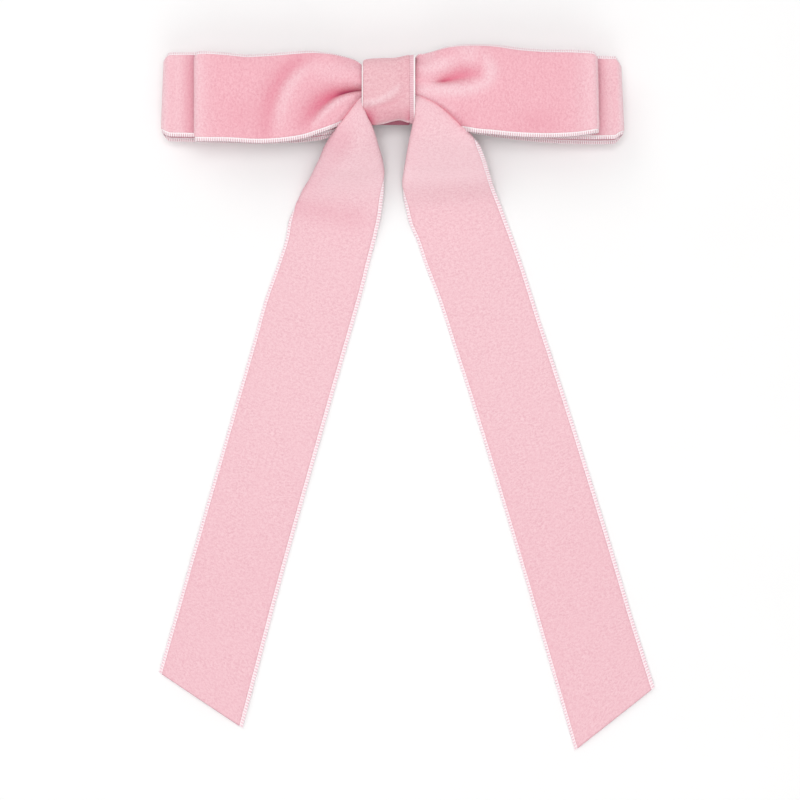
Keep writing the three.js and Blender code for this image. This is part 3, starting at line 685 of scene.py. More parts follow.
def build_tail(name, rows, cut, seed):
    T = Tail(rows, cut, seed)
    s = across(RIBBON, *TAIL_EDGE, 0.5)
    t = spread(0, T.length, 0.5, [T.length - 0.08, T.length - 0.2])
    tt, ss = np.meshgrid(t, s, indexing="ij")
    P, Nn = T.at_n(tt, ss)
    edge = np.minimum(ss - TAIL_EDGE[0], RIBBON - TAIL_EDGE[1] - ss)
    neck = lerp(0.55, 1.0, smooth(tt, 2, 18))
    shoulder = np.sqrt(np.clip(1 - (1 - np.clip(edge / 0.5, 0, 1)) ** 2, 0, 1))
    endround = np.sqrt(np.clip(1 - (1 - np.clip((T.length - tt) / 0.3, 0, 1)) ** 2, 0, 1))
    front = neck * (0.1 + 0.32 * shoulder * (0.45 + 0.55 * endround))
    back = -0.24 * neck
    # painted shade: a darker line along the cut end, and a little along the edges
    cutline = np.exp(-((T.length - tt) / 0.22) ** 2)
    near = 1 - smooth(edge, 0.1, 1.5)
    knot = 1 - smooth(tt, 3, 22)
    pink_shade = np.clip(0.25 * cutline + 0.05 * near, 0, 1)
    # painted highlight on the slope where the ribbon comes down to the table, which lies in shade, and a little at the
    # knot; painted shade where it bends flat
    ramp = smooth(tt, 11, 24) * (1 - smooth(tt, 27, 38))
    open_pile_and_highlight = 0.08 * knot + 0.5 * ramp
    along = tt - 0.06 * (ss - 12.7)
    if seed < 1:
        # the left tail is rolled under along its outer edge and bends flat in one band, and both get painted shade
        pink_shade = pink_shade + 0.2 * np.exp(-(((along - 39.5) / 3.6) ** 2)) * (1 - 0.8 * smooth(ss, 17, 24))
        roll = lerp(10.0, 3.5, smooth(tt, 15, 38))
        pink_shade = pink_shade + 0.36 * (1 - smooth(ss, roll, roll + 4.6)) * smooth(tt, 8, 16) * (1 - smooth(tt, 29, 36))
    else:
        # the right tail: painted shade along its left edge below the knot, and a painted highlight band across it on
        # the slope
        pink_shade = pink_shade + 0.13 * np.exp(-(((ss - 6.0) / 3.4) ** 2)) * smooth(tt, 8, 14) * (1 - smooth(tt, 24, 30))
        open_pile_and_highlight = open_pile_and_highlight + 0.3 * np.exp(-(((along - 30.5) / 3.6) ** 2))
    # the pink a little deeper towards the ends
    pink_shade = np.clip(pink_shade + 0.07 * smooth(tt, 90, 150), 0, 1)
    # painted shade along the cut end
    shade = 0.22 * cutline
    rib = np.stack([ss, tt, np.zeros_like(ss)], -1)
    body = thick_sheet(name + "_velvet", P, Nn, front, back * np.ones_like(front), [M_TAIL, M_BACK], {"rib": rib, "pink_shade": pink_shade, "open_pile_and_highlight": open_pile_and_highlight, "shade": shade})
    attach(body, "bow_and_base")
    edges = []
    for side, word in ((0, "left"), (1, "right")):
        tq = np.linspace(0, T.length, 900)
        line = T.at(tq[:, None], np.full((900, 1), 0.4 if side == 0 else RIBBON - 0.4))[:, 0]
        L = np.concatenate([[0], np.cumsum(np.linalg.norm(np.diff(line, axis=0), axis=1))])
        edges.append(
            selvage(f"{name}_selvage_{word}", T.at_n, lambda d, L=L, tq=tq: np.interp(d, L, tq), L[-1], side, M_SELV_TAIL, "bow_and_base", width=TAIL_EDGE[side], tooth=0.34, thread=0.0, pitch=0.8, sharp=0.75)
        )
    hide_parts(name)
    return body, edges, T


left_tail, left_edges, TL = build_tail("tail_left", LEFT_ROWS, LEFT_CUT, 0.4)
right_tail, right_edges, TR = build_tail("tail_right", RIGHT_ROWS, RIGHT_CUT, 2.1)


# ---------------------------------------------------------------- loops
def crease(X, Y, pts, amp, w_left, w_right):
    """A valley along a smooth line through pts, deep by amp at each of them: w_left and w_right are how far its two
    flanks reach, left and right of the line's direction."""
    pts = np.array(pts, float)
    n = len(pts)
    t = np.arange(n)
    tq = np.linspace(0, n - 1, (n - 1) * 5 + 1)
    line = hermite(t, pts, tq)
    amp, wl, wr = (np.interp(tq, t, np.broadcast_to(np.asarray(v, float), n)) for v in (amp, w_left, w_right))
    reach = 3.2 * max(wl.max(), wr.max())
    near = (
        (X > line[:, 0].min() - reach) & (X < line[:, 0].max() + reach)
        & (Y > line[:, 1].min() - reach) & (Y < line[:, 1].max() + reach)
    )
    x, y = X[near], Y[near]
    best = np.zeros(x.shape)
    for k in range(len(line) - 1):
        a, d = line[k], line[k + 1] - line[k]
        L2 = d @ d
        u = np.clip(((x - a[0]) * d[0] + (y - a[1]) * d[1]) / L2, 0, 1)
        ex, ey = x - (a[0] + u * d[0]), y - (a[1] + u * d[1])
        dist = np.hypot(ex, ey)
        side = (d[0] * ey - d[1] * ex) / (math.sqrt(L2) * np.maximum(dist, 1e-6))
        w = lerp(lerp(wr[k], wr[k + 1], u), lerp(wl[k], wl[k + 1], u), 0.5 + 0.5 * side)
        best = np.maximum(best, lerp(amp[k], amp[k + 1], u) * np.exp(-((dist / w) ** 2)))
    out = np.zeros(X.shape)
    out[near] = best
    return out


LT_EDGE = table([(-12.9, -16.9), (-10.0, -14.9), (-7.8, -13.1), (-5.8, -11.5), (-3.7, -9.8), (-2.0, -8.6), (-0.8, -7.6), (0.8, -6.6)])
RT_EDGE = table([(-12.3, 23.9), (-9.1, 20.6), (-7.3, 18.6), (-5.1, 16.3), (-3.3, 14.2), (-1.4, 11.2), (-0.2, 8.6), (1.2, 6.8)])

UP_TOP = table([
    (-51.6, 12.2), (-50.2, 12.3), (-45.4, 12.04), (-42.2, 11.75), (-40.1, 11.5), (-37.95, 11.3), (-34.75, 11.4), (-30.5, 11.7), (-27.3, 12.0),
    (-24.1, 12.25), (-20.9, 12.3), (-18.8, 12.1), (-16.65, 11.8), (-14.5, 11.45), (-12.4, 11.0), (-10.25, 10.45), (-8.5, 9.7), (-7.3, 8.7), (-5.5, 7.0),
    (0, 6.2), (5.5, 7.0), (6.8, 9.4), (7.6, 11.3), (9.45, 11.8), (11.6, 12.3), (13.7, 12.84), (15.85, 13.35), (18, 13.65), (20.1, 13.85), (26.5, 13.9), (29.7, 13.75),
    (32.9, 13.35), (35, 13.1), (38.2, 12.85), (41.4, 12.65), (49.9, 12.5), (54.2, 12.3), (55.6, 12.1),
])
UP_BOTTOM = table([
    (-51.6, -12.0), (-50.2, -12.06), (-41.7, -12.25), (-35.3, -12.6), (-29.1, -12.4), (-26, -12.06), (-22.8, -11.45), (-18.06, -9.85), (-14.3, -8.3),
    (-12.1, -6.9), (-9.5, -5.2), (-7.3, -3.6), (-5.5, -2.2), (0, -1.9), (5.5, -2.2), (7.3, -3.4), (11.0, -5.6), (16, -8.0), (19.8, -9.0), (22.5, -9.75), (27.5, -10.3), (35.2, -10.95),
    (43, -11.1), (50.6, -10.6), (54.5, -9.9), (55.6, -9.7),
])
LO_TOP = table([
    (-61, 12.7), (-55, 12.75), (-48, 12.3), (-40, 11.0), (-30, 10.8), (-18, 10.4), (-12, 9.0), (-7.3, 6.4), (0, 5.6), (7.3, 6.4), (12, 9.5), (20, 11.0), (40, 11.4), (55, 11.75), (62.7, 11.65),
])
LO_BOTTOM = table([
    (-61, -11.2), (-52, -11.5), (-45, -11.9), (-32, -12.0), (-24.7, -11.9), (-19.7, -11.4), (-15.9, -10.6), (-12, -8.6), (-7.3, -3.4), (0, -1.9), (7.3, -3.4), (12, -5.6), (18, -7.9), (24, -9.6), (31.4, -10.8),
    (37.3, -11.5), (43.2, -11.95), (50.9, -12.1), (58.7, -12.0), (62.7, -11.8),
])
UP_CREST = table([(-50, 16.85), (-47.5, 17.35), (-43, 17.85), (-38, 18.15), (-30, 18.3), (-22, 18.35), (-14, 18.1), (-9, 17.7), (-7.2, 17.4), (0, 16.6), (7.2, 17.4), (9, 17.9), (14, 18.4), (22, 18.6), (30, 18.5), (40, 18.2), (48, 17.6), (52, 17.1), (54, 16.85)])


def up_front(X, Y):
    z = UP_CREST(np.clip(X, -50, 54))
    ax = np.abs(X)
    inner = 1 - smooth(ax, 40, 50)
    # it falls away towards its long edges, more so by the wrap
    top = UP_TOP(np.clip(X, -51.6, 55.6))
    bot = UP_BOTTOM(np.clip(X, -51.6, 55.6))
    dt = np.maximum(0, Y - (top - 5.0))
    db = np.maximum(0, (bot + 4.0) - Y)
    z = z - inner * (0.045 * dt**2 + 0.03 * db**2)
    z = z - (1 - smooth(ax, 8, 16)) * 0.05 * np.maximum(0, Y - 4.0) ** 2
    # left: the deep crease from the wrap, with a gentle flank above it and a steep one below
    z = z - crease(
        X, Y,
        [(-6.4, 1.5), (-8.2, 1.45), (-11.4, 0.75), (-14.6, -0.4), (-17.6, -2.3), (-20.2, -4.7), (-22.4, -7.8)],
        [2.0, 2.9, 3.2, 2.9, 2.2, 1.1, 0.1],
        [0.5, 0.5, 0.6, 0.95, 1.6, 2.2, 2.5],
        [1.4, 1.7, 2.6, 3.7, 4.4, 4.2, 3.6],
    )
    z = z + crease(
        X, Y, [(-8.6, 0.3), (-11.5, -0.8), (-15.0, -2.6), (-18.0, -5.4), (-20.2, -8.5)], [0.0, 0.55, 0.7, 0.6, 0.25], 1.4, 1.3
    )
    # left: the shallow bend further out
    z = z - crease(
        X, Y, [(-21.6, 10.0), (-25.4, 7.6), (-28.6, 4.2), (-30.8, 0.2), (-32.0, -4.2), (-32.6, -9.5)],
        [0.3, 1.25, 1.5, 1.45, 1.1, 0.5], [2.6, 2.5, 2.3, 2.4, 2.6, 2.8], [4.6, 4.4, 4.2, 4.2, 4.4, 4.8],
    )
    # right: the short dimple
    z = z - crease(
        X, Y, [(11.6, 3.6), (13.2, 3.65), (15.2, 3.9), (18.0, 4.5), (21.0, 5.2), (23.6, 5.8)], [0.0, 1.3, 2.5, 2.2, 1.5, 0.4],
        [1.2, 1.7, 2.5, 3.4, 3.4, 2.6], [0.5, 0.6, 0.75, 1.1, 1.6, 1.6],
    )
    z = z + crease(X, Y, [(26.0, 10.0), (27.2, 6.6), (26.0, 3.4)], [0.1, 0.4, 0.1], 1.8, 2.0)
    z = z + crease(X, Y, [(9.2, 1.6), (13.0, 1.6), (17.5, 2.0), (22.0, 2.6)], [0.15, 0.4, 0.45, 0.1], 1.6, 1.5)
    # gathers against the wrap
    g = np.exp(-np.maximum(0, ax - 7.0) / 3.2)
    z = z + 0.22 * g * np.sin(Y * 1.75 + np.where(X > 0, 0.6, 2.2))
    # it is pressed down under the tails
    L = LT_EDGE(np.clip(Y, -12.9, 0.8))
    R = RT_EDGE(np.clip(Y, -12.3, 1.2))
    below = smooth(-Y, -1.2, 0.6)
    d = np.where(X < 0, smooth(X - L, -2.2, 0.9), smooth(R - X, -2.2, 0.9)) * below
    z = lerp(z, np.minimum(z, 15.25), d)
    # inside the wrap
    inside = 1 - smooth(ax, 5.7, 6.9)
    z = lerp(z, 15.0 + 0.3 * np.cos(Y * 0.7), inside * smooth(-Y, -2.5, -1.0) + inside * 0.35 * (1 - smooth(-Y, -2.5, -1.0)))
    # slow unevenness of the cloth
    z = z + 0.10 * np.sin(X * 0.33 + Y * 0.21) * np.sin(Y * 0.31 - X * 0.12 + 1.0) * inner
    return z


def up_paint(X, Y):
    """Painted shade and highlight on the upper loop: shade in its creases and against the wrap and the tails, highlight
    on its ridges and towards its end folds.
    """
    ax = np.abs(X)
    # painted shade along the creases and the dimple
    pink_shade = 1.0 * crease(
        X, Y, [(-7.2, 1.45), (-9.4, 1.3), (-12.2, 0.6), (-15.2, -0.6), (-18.0, -2.4), (-20.4, -4.6), (-22.6, -7.4)],
        [1.0, 1.0, 0.95, 0.76, 0.6, 0.46, 0.2], [0.45, 0.45, 0.6, 1.0, 1.6, 2.0, 2.2], [0.7, 1.0, 1.7, 2.6, 3.0, 2.8, 2.4],
    )
    pink_shade = np.maximum(pink_shade, 0.35 * crease(X, Y, [(-20.5, 10.2), (-25.0, 7.8), (-28.4, 4.2), (-30.6, 0.2), (-31.9, -4.2), (-32.6, -9.5)], [0.4, 1, 1, 0.95, 0.8, 0.6], 1.7, 2.9))
    pink_shade = np.maximum(pink_shade, crease(
        X, Y, [(12.9, 3.55), (14.6, 3.8), (17.2, 4.5), (20.4, 5.5), (23.4, 5.9)], [0.35, 0.9, 0.6, 0.48, 0.24],
        [0.7, 1.1, 2.1, 3.0, 2.2], [0.4, 0.5, 0.9, 1.5, 1.5],
    ))
    # painted shade against the wrap and beside the tails
    pink_shade = np.maximum(pink_shade, np.where(X > 0, 0.38, 0.3) * np.exp(-(((ax - 7.0) / np.where(X > 0, 0.85, 0.6)) ** 2)))
    L = LT_EDGE(np.clip(Y, -12.9, 0.8))
    R = RT_EDGE(np.clip(Y, -12.3, 1.2))
    reach = smooth(-Y, -1.5, 1.0)
    beside = np.where(X < 0, np.exp(-((np.maximum(L - X, 0) / 0.8) ** 2)), np.exp(-((np.maximum(X - R, 0) / 1.3) ** 2)))
    pink_shade = np.maximum(pink_shade, 0.4 * beside * reach)
    # painted patches of deeper pink in three places
    for (px, py), (wx, wy), k in (((-39.5, -5.5), (3.6, 4.6), 0.1), ((20.0, -6.0), (2.6, 2.6), 0.12), ((39.0, -7.5), (5.6, 3.8), 0.13)):
        pink_shade = pink_shade + k * np.exp(-(((X - px) / wx) ** 2) - ((Y - py) / wy) ** 2)
    # painted highlights on the ridges beside the creases and near the upper edge
    open_pile_and_highlight = 0.34 * crease(X, Y, [(-21.0, 7.4), (-24.0, 5.2), (-26.6, 1.4), (-28.2, -3.4), (-29.0, -8.4)], [0.6, 1, 1, 0.8, 0.4], 1.7, 1.9)
    open_pile_and_highlight = np.maximum(open_pile_and_highlight, 0.4 * crease(X, Y, [(-10.6, -0.2), (-13.4, -1.7), (-16.6, -4.2), (-19.6, -8.0)], [0.5, 1, 1, 0.6], 1.0, 1.0))
    open_pile_and_highlight = np.maximum(open_pile_and_highlight, 0.22 * crease(X, Y, [(-10.0, 6.6), (-15.0, 6.4), (-20.0, 7.6)], [0.7, 1, 0.8], 2.6, 2.6))
    open_pile_and_highlight = np.maximum(open_pile_and_highlight, 0.5 * crease(X, Y, [(25.4, 10.4), (27.0, 7.0), (26.0, 3.6), (21.5, 1.7), (15.5, 1.3), (9.4, 1.6)], [0.4, 0.9, 0.8, 0.9, 1, 0.8], 1.9, 1.7))
    open_pile_and_highlight = np.maximum(open_pile_and_highlight, 0.46 * crease(X, Y, [(10.0, 7.0), (14.0, 8.2), (18.6, 9.6)], [0.8, 1, 0.5], 1.9, 1.9))
    open_pile_and_highlight = np.maximum(open_pile_and_highlight, 0.14 * crease(X, Y, [(12.0, -1.6), (18.0, -3.4), (26.0, -5.4)], [1, 0.3, 0], 1.8, 1.8))
    open_pile_and_highlight = np.maximum(open_pile_and_highlight, 0.33 * np.exp(-(((X - 21.0) / 3.6) ** 2)) * smooth(Y, 6.5, 10.0))
    open_pile_and_highlight = np.maximum(open_pile_and_highlight, 0.25 * np.exp(-(((X - 11.0) / 2.2) ** 2)) * smooth(Y, 7.5, 10.0))
    # painted highlight towards the end folds, where the pile also stands open
    open_pile_and_highlight = np.maximum(open_pile_and_highlight, 0.36 * np.exp(-(((X + 51.4) / 3.2) ** 2)) + 0.36 * np.exp(-(((X - 55.6) / 5.4) ** 2)))
    # dark painted shade in the core of the crease by the wrap, in the dimple, and in a thin line beside the tails'
    # edges
    shade = 0.86 * crease(X, Y, [(-7.2, 1.4), (-9.6, 1.2), (-12.4, 0.6), (-15.0, -0.5)], [0.45, 1.0, 0.85, 0.0], [0.26, 0.34, 0.42, 0.4], [0.4, 0.6, 0.8, 0.6])
    shade = np.maximum(shade, 0.15 * crease(X, Y, [(12.6, 3.5), (14.6, 3.8), (16.6, 4.3)], [0.0, 1.0, 0.0], 0.7, 0.4))
    shade = np.maximum(shade, 0.5 * beside * reach * np.where(X < 0, 1.0, 0.6) * np.exp(-((np.where(X < 0, L - X, X - R) / 0.4) ** 2)))
    return pink_shade, open_pile_and_highlight, shade


def lo_paint(X, Y):
    """The lower loop: painted shade where the upper one lies over it, painted highlight at its own ends, where the pile
    also opens.
    """
    pink_shade = 0.34 * np.where(X < 0, smooth(X, -56.6, -52.2), 0.8 * (1 - smooth(X, 55.8, 59.2)))
    open_pile_and_highlight = 0.3 * np.exp(-(((X + 60.6) / 1.6) ** 2)) + 0.14 * np.exp(-(((X + 56.6) / 1.5) ** 2)) + 0.45 * np.exp(-(((X - 62.4) / 0.9) ** 2)) + 0.14 * np.exp(-(((X - 59.6) / 1.2) ** 2))
    shade = 0.16 * np.where(X < 0, smooth(X, -53.4, -51.9), 1 - smooth(X, 56.2, 57.6))
    return pink_shade, open_pile_and_highlight, shade


def lo_front(X, Y):
    ax = np.abs(X)
    reach = np.where(X > 0, 61.1, 59.5)
    z = lerp(13.1, 13.5, smooth(ax, 7.5, 19))
    z = lerp(z, 10.5, smooth(ax, 0.62 * reach, reach) * 0.95 + 0.05 * smooth(ax, 0.9 * reach, reach))
    z = z - 0.25 * smooth(np.abs(Y), 7, 12.5) * (1 - smooth(ax, 50, 59))
    return z + 0.06 * np.sin(X * 0.4 + Y * 0.3)


def back_layer(knot, puff, end_z, reach_l, reach_r):
    def f(X, Y):
        ax = np.abs(X)
        reach = np.where(X > 0, reach_r, reach_l)
        z = lerp(knot, puff, smooth(ax, 7.5, 19))
        return lerp(z, end_z, smooth(ax, 0.62 * reach, reach))

    return f


class Ring:
    """A ribbon closed into a flattened ring: front layer, right end, back layer, left end. curl is how far the edges
    turn down, in degrees: (bottom, top where it is open, top near the wrap). corners are (reach, inset, power) of the
    rounding at left top, left bottom, right top, right bottom. rise is how much higher the front layer sits."""

    def __init__(self, xl, xr, R, end_z, front, back, top, bottom, paint, curl, corners, rise, near_wrap, lean_l, lean_r):
        self.xl, self.xr, self.R, self.end_z = xl + R, xr - R, R, end_z
        self.front, self.back, self.top, self.bottom, self.paint = front, back, top, bottom, paint
        self.lay = self.xr - self.xl
        self.arc = pi * R
        self.length = 2 * (self.lay + self.arc)
        self.corners, self.rise, self.near_wrap = corners, rise, near_wrap
        self.lean_l, self.lean_r = lean_l, lean_r
        self.open, self.shut = self.profile(curl[0], curl[1]), self.profile(curl[0], curl[2])

    @staticmethod
    def profile(curl_bottom, curl_top):
        s = np.linspace(0, RIBBON, 509)
        e0 = 2.0
        th = np.where(s < e0, math.radians(curl_bottom) * (1 - s / e0), 0)
        th = np.where(RIBBON - s < e0, math.radians(curl_top) * (1 - (RIBBON - s) / e0), th)
        ds = s[1] - s[0]
        cum = np.concatenate([[0], np.cumsum(np.cos((th[1:] + th[:-1]) / 2) * ds)])
        dz = np.sin(th) * ds
        low = np.zeros_like(s)
        i = np.where(s < e0)[0]
        low[i] = np.cumsum(dz[i][::-1])[::-1]
        j = np.where(RIBBON - s < e0)[0]
        low[j] = np.cumsum(dz[j])
        return s, cum / cum[-1], low

    def at(self, U, S):
        u = np.mod(U, self.length)
        a1, a2, a3 = self.lay, self.lay + self.arc, 2 * self.lay + self.arc
        is_f = u < a1
        is_r = (u >= a1) & (u < a2)
        is_b = (u >= a2) & (u < a3)
        ang = np.where(is_r, (u - a1) / self.R, np.where(is_f, 0, np.where(is_b, pi, pi + (u - a3) / self.R)))
        xb = np.where(is_f, self.xl + u, np.where(is_b, self.xr - (u - a2), np.where(is_r, self.xr, self.xl)))
        x = xb + self.R * np.sin(ang)
        m = np.where(is_f, 0.0, np.where(is_b, 1.0, np.where(is_r, (u - a1) / self.arc, 1 - (u - a3) / self.arc)))
        near = np.where(x < 0, smooth(x, *self.near_wrap[0]), 1 - smooth(x, *self.near_wrap[1]))
        yf = lerp(np.interp(S, self.open[0], self.open[1]), np.interp(S, self.shut[0], self.shut[1]), near)
        dn = lerp(np.interp(S, self.open[0], self.open[2]), np.interp(S, self.shut[0], self.shut[2]), near)
        # long edges, the back layer a little lower than the front, with the folds' corners taken off
        xc = np.clip(x, self.xl - self.R, self.xr + self.R)
        out = smooth(np.abs(x), 8, 20)
        T = self.top(xc) - lerp(0.45, max(self.rise, 0.45), out) * m
        B = self.bottom(xc) + 0.45 * m * (1 - out) + lerp(0, self.rise, out) * (1 - m)
        lt, lb, rt, rb = self.corners
        left, right = self.xl - self.R, self.xr + self.R
        T = T - lt[1] * np.clip((left + lt[0] - x) / lt[0], 0, 1) ** lt[2] - rt[1] * np.clip((x - right + rt[0]) / rt[0], 0, 1) ** rt[2]
        B = B + lb[1] * np.clip((left + lb[0] - x) / lb[0], 0, 1) ** lb[2] + rb[1] * np.clip((x - right + rb[0]) / rb[0], 0, 1) ** rb[2]
        y = lerp(B, T, yf)
        zf = self.front(xb, y)
        zb = self.back(xb, y)
        # at the folds the layers meet the half round
        kf = smooth(np.abs(xb - np.where(xb > 0, self.xr, self.xl)), 0, 5.0)
        zf = lerp(self.end_z + self.R, zf, kf)
        zb = lerp(self.end_z - self.R, zb, kf)
        z = np.where(is_f, zf, np.where(is_b, zb, self.end_z + self.R * np.cos(ang)))
        nx, nz = np.where(is_f | is_b, 0, np.sin(ang)), np.where(is_f, 1, np.where(is_b, -1, np.cos(ang)))
        lean = np.where(x > 0, self.lean_r, self.lean_l) * (yf - 0.5) * smooth(np.abs(x), 30, 50)
        return np.stack([x + lean - nx * dn * 0.5, y, z - nz * dn], -1)

    def at_n(self, U, S):
        P = self.at(U, S)
        e = 0.12
        Nn = unit(
            np.cross(
                self.at(U + e, S) - self.at(U - e, S),
                self.at(U, np.minimum(S + e, RIBBON)) - self.at(U, np.maximum(S - e, 0)),
            )
        )
        return P, Nn


def build_loop(name, ring, mat, node):
    s = across(RIBBON, SELV, LOOP_TOP, 0.42)
    n = int(round(ring.length / 0.4))
    u = np.arange(n) / n * ring.length
    # finer round the end folds
    a1, a2, a3 = ring.lay, ring.lay + ring.arc, 2 * ring.lay + ring.arc
    u = np.unique(np.round(np.concatenate([u, np.linspace(a1 - 1, a2 + 1, 40), np.linspace(a3 - 1, ring.length - 0.01, 36), np.linspace(0, 1, 6)]), 4))
    keep = np.concatenate([[True], np.diff(u) > 0.05])
    u = u[keep]
    uu, ss = np.meshgrid(u, s, indexing="ij")
    P, Nn = ring.at_n(uu, ss)
    edge = np.minimum(ss - SELV, RIBBON - LOOP_TOP - ss)
    shoulder = np.sqrt(np.clip(1 - (1 - np.clip(edge / 0.45, 0, 1)) ** 2, 0, 1))
    front = 0.08 + 0.26 * shoulder
    back = np.full_like(front, -0.2)
    # painted highlight over the two end folds, where the pile also opens, and painted shade in the valleys
    um = np.mod(uu, ring.length)
    xx, yy = P[..., 0], P[..., 1]
    open_lit_r = np.exp(-(((um - (a1 + 0.28 * ring.arc)) / 0.55) ** 2))
    open_lit_l = np.exp(-(((um - (a3 + 0.72 * ring.arc)) / 0.55) ** 2))
    shown = (um < a2) | (um > a3 + 0.45 * ring.arc)
    pink_shade, open_pile_and_highlight, shade = (np.where(shown, v, 0) for v in ring.paint(xx, yy))
    # painted shade under the wrap
    pink_shade = np.where(np.abs(xx) < 6.8, 0.3, pink_shade)
    open_pile_and_highlight = np.clip(np.maximum(open_pile_and_highlight, 0.6 * open_lit_r + 0.4 * open_lit_l), 0, 0.9)
    rib = np.stack([ss, uu, np.zeros_like(ss)], -1)
    body = thick_sheet(name + "_velvet", P, Nn, front, back, [mat, M_BACK], {"rib": rib, "pink_shade": pink_shade, "open_pile_and_highlight": open_pile_and_highlight, "shade": shade}, closed=True)
    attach(body, "bow_and_base")
    edges = []
    for side, word in ((0, "lower"), (1, "upper")):
        uq = np.linspace(0, ring.length, 1400)
        line = ring.at(uq[:, None], np.full((1400, 1), 0.4 if side == 0 else RIBBON - 0.4))[:, 0]
        L = np.concatenate([[0], np.cumsum(np.linalg.norm(np.diff(line, axis=0), axis=1))])
        edges.append(
            selvage(f"{name}_selvage_{word}", ring.at_n, lambda d, L=L, uq=uq: np.interp(d, L, uq), L[-1], side, M_SELV, "bow_and_base", closed=True, width=(SELV, LOOP_TOP)[side], tooth=(0.18, 0.42)[side], thread=(0.7, 0.15)[side])
        )
    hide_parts(node)
    return body, edges


upper_ring = Ring(
    -51.6, 55.75, 1.6, 15.2, up_front, back_layer(14.0, 14.55, 13.6, 50.0, 54.1), UP_TOP, UP_BOTTOM, up_paint,
    (6, 34, 74), ((0.9, 0.35, 2), (0.6, 0.15, 2), (1.0, 0.45, 2), (0.5, 0.15, 2)), 0.0, ((-24, -14), (24, 34)), 0.0, -0.5,
)
lower_ring = Ring(
    -60.6, 62.7, 1.5, 9.0, lo_front, back_layer(12.2, 10.9, 7.5, 59.1, 61.2), LO_TOP, LO_BOTTOM, lo_paint,
    (8, 30, 70), ((1.4, 1.0, 1.4), (2.6, 1.7, 2.2), (1.4, 1.4, 1.1), (2.2, 1.8, 1.05)), 1.1, ((-24, -14), (24, 34)), 0.8, -0.9,
)
upper_loop, upper_edges = build_loop("upper_loop", upper_ring, M_LOOP, "upper_loop")
lower_loop, lower_edges = build_loop("lower_loop", lower_ring, M_LOWER, "lower_loop")

# ---------------------------------------------------------------- centre wrap
WRAP_W = 14.6
# the ring's middle line in (y, z), starting under the base and going up the front side
WRAP_LINE = np.array([
    (0.0, 8.5), (3.2, 8.5), (5.6, 8.6), (7.0, 9.3), (7.9, 10.7), (8.8, 12.7), (9.3, 14.9), (9.15, 16.9), (8.2, 18.2), (6.2, 18.9),
    (3.4, 19.1), (0.5, 19.0), (-2.1, 18.45), (-4.3, 17.4), (-5.7, 15.9), (-6.15, 14.6), (-5.75, 13.7), (-5.6, 12.9), (-6.1, 11.9), (-6.7, 10.9), (-6.4, 9.5), (-4.6, 8.55), (-2.0, 8.5),
])
WRAP_TOPX = table([(-7.3, 9.55), (-5.5, 9.9), (-2, 10.15), (2, 10.3), (5, 10.95), (7.3, 11.45)])
WRAP_BOTX = table([(-7.3, 7.4), (-4, 7.5), (-1.5, 7.15), (0.9, 6.45), (3.0, 6.05), (5.2, 6.75), (6.8, 7.4), (7.3, 7.45)])


class Wrap:
    def __init__(self):
        c = np.vstack([WRAP_LINE, WRAP_LINE[:1]])
        t = np.concatenate([[0], np.cumsum(np.linalg.norm(np.diff(c, axis=0), axis=1))])
        ext = np.vstack([WRAP_LINE[-2:], c, WRAP_LINE[1:3]])
        t2 = np.concatenate([[0], np.cumsum(np.linalg.norm(np.diff(ext, axis=0), axis=1))])
        off = t2[2]
        self.length = t[-1]
        q = np.linspace(0, self.length, 1201)
        p = hermite(t2, ext, q + off)
        self.q, self.p = q, p

    def at(self, U, S):
        u = np.mod(U, self.length)
        y = np.interp(u, self.q, self.p[:, 0])
        z = np.interp(u, self.q, self.p[:, 1])
        x = (S / WRAP_W - 0.5) * 14.25
        xe = np.clip(x, -7.3, 7.3)
        up = smooth(z, 10.0, 14.5)
        yt = WRAP_TOPX(xe) / 9.6
        yb = WRAP_BOTX(xe) / 6.35
        k = smooth(np.abs(y), 1.0, 7.0) * smooth(z, 10.5, 13.0) * (1 - smooth(z, 17.8, 19.0) * 0.5)
        y = y * np.where(y > 0, lerp(1, yt, k), lerp(1, yb, k * smooth(z, 12.6, 14.0)))
        # the corners under the tails are pressed in, and the two edges turn down
        dl = smooth(-x, 2.6, 7.0) * smooth(-y, -0.5, 5.0) * smooth(z, 13.5, 16.5)
        dr = smooth(x, 4.2, 7.2) * smooth(-y, 0.5, 6.0) * smooth(z, 13.5, 16.5)
        z = z - 1.9 * dl - 1.3 * dr
        turn = 0.55 * smooth(-x, 6.1, 7.1) ** 1.5 + 0.12 * smooth(x, 6.3, 7.1)
        cy, cz = 1.0, 14.0
        r = np.hypot(y - cy, z - cz)
        k2 = 1 - turn / np.maximum(r, 1)
        y = cy + (y - cy) * k2
        z = cz + (z - cz) * k2
        # soft folds across the front
        fr = smooth(z, 16.5, 18.3) * up
        z = z + fr * (0.07 * np.sin(y * 1.25 + x * 0.25) + 0.05 * np.sin(x * 0.9 + 0.8))
        z = z + fr * 0.3 * crease(x, y, [(-6.6, -2.0), (-3.2, -1.5), (0.2, 0.1), (3.2, 2.4)], [0.8, 1, 0.9, 0.3], 0.9, 0.8)
        z = z + fr * 0.16 * crease(x, y, [(-6.8, 0.6), (-3.6, 0.2), (-1.0, 1.2)], [0.8, 1, 0.2], 0.6, 0.6)
        z = z - fr * 0.2 * crease(x, y, [(-5.4, -3.4), (-1.4, -2.6), (2.2, -1.2), (5.2, 1.6)], [0.4, 1, 0.9, 0.2], 0.9, 0.9)
        return np.stack([x, y, z], -1)

    def at_n(self, U, S):
        e = 0.1
        P = self.at(U, S)
        Nn = unit(
            np.cross(
                self.at(U + e, S) - self.at(U - e, S),
                self.at(U, np.minimum(S + e, WRAP_W)) - self.at(U, np.maximum(S - e, 0)),
            )
        )
        return P, Nn


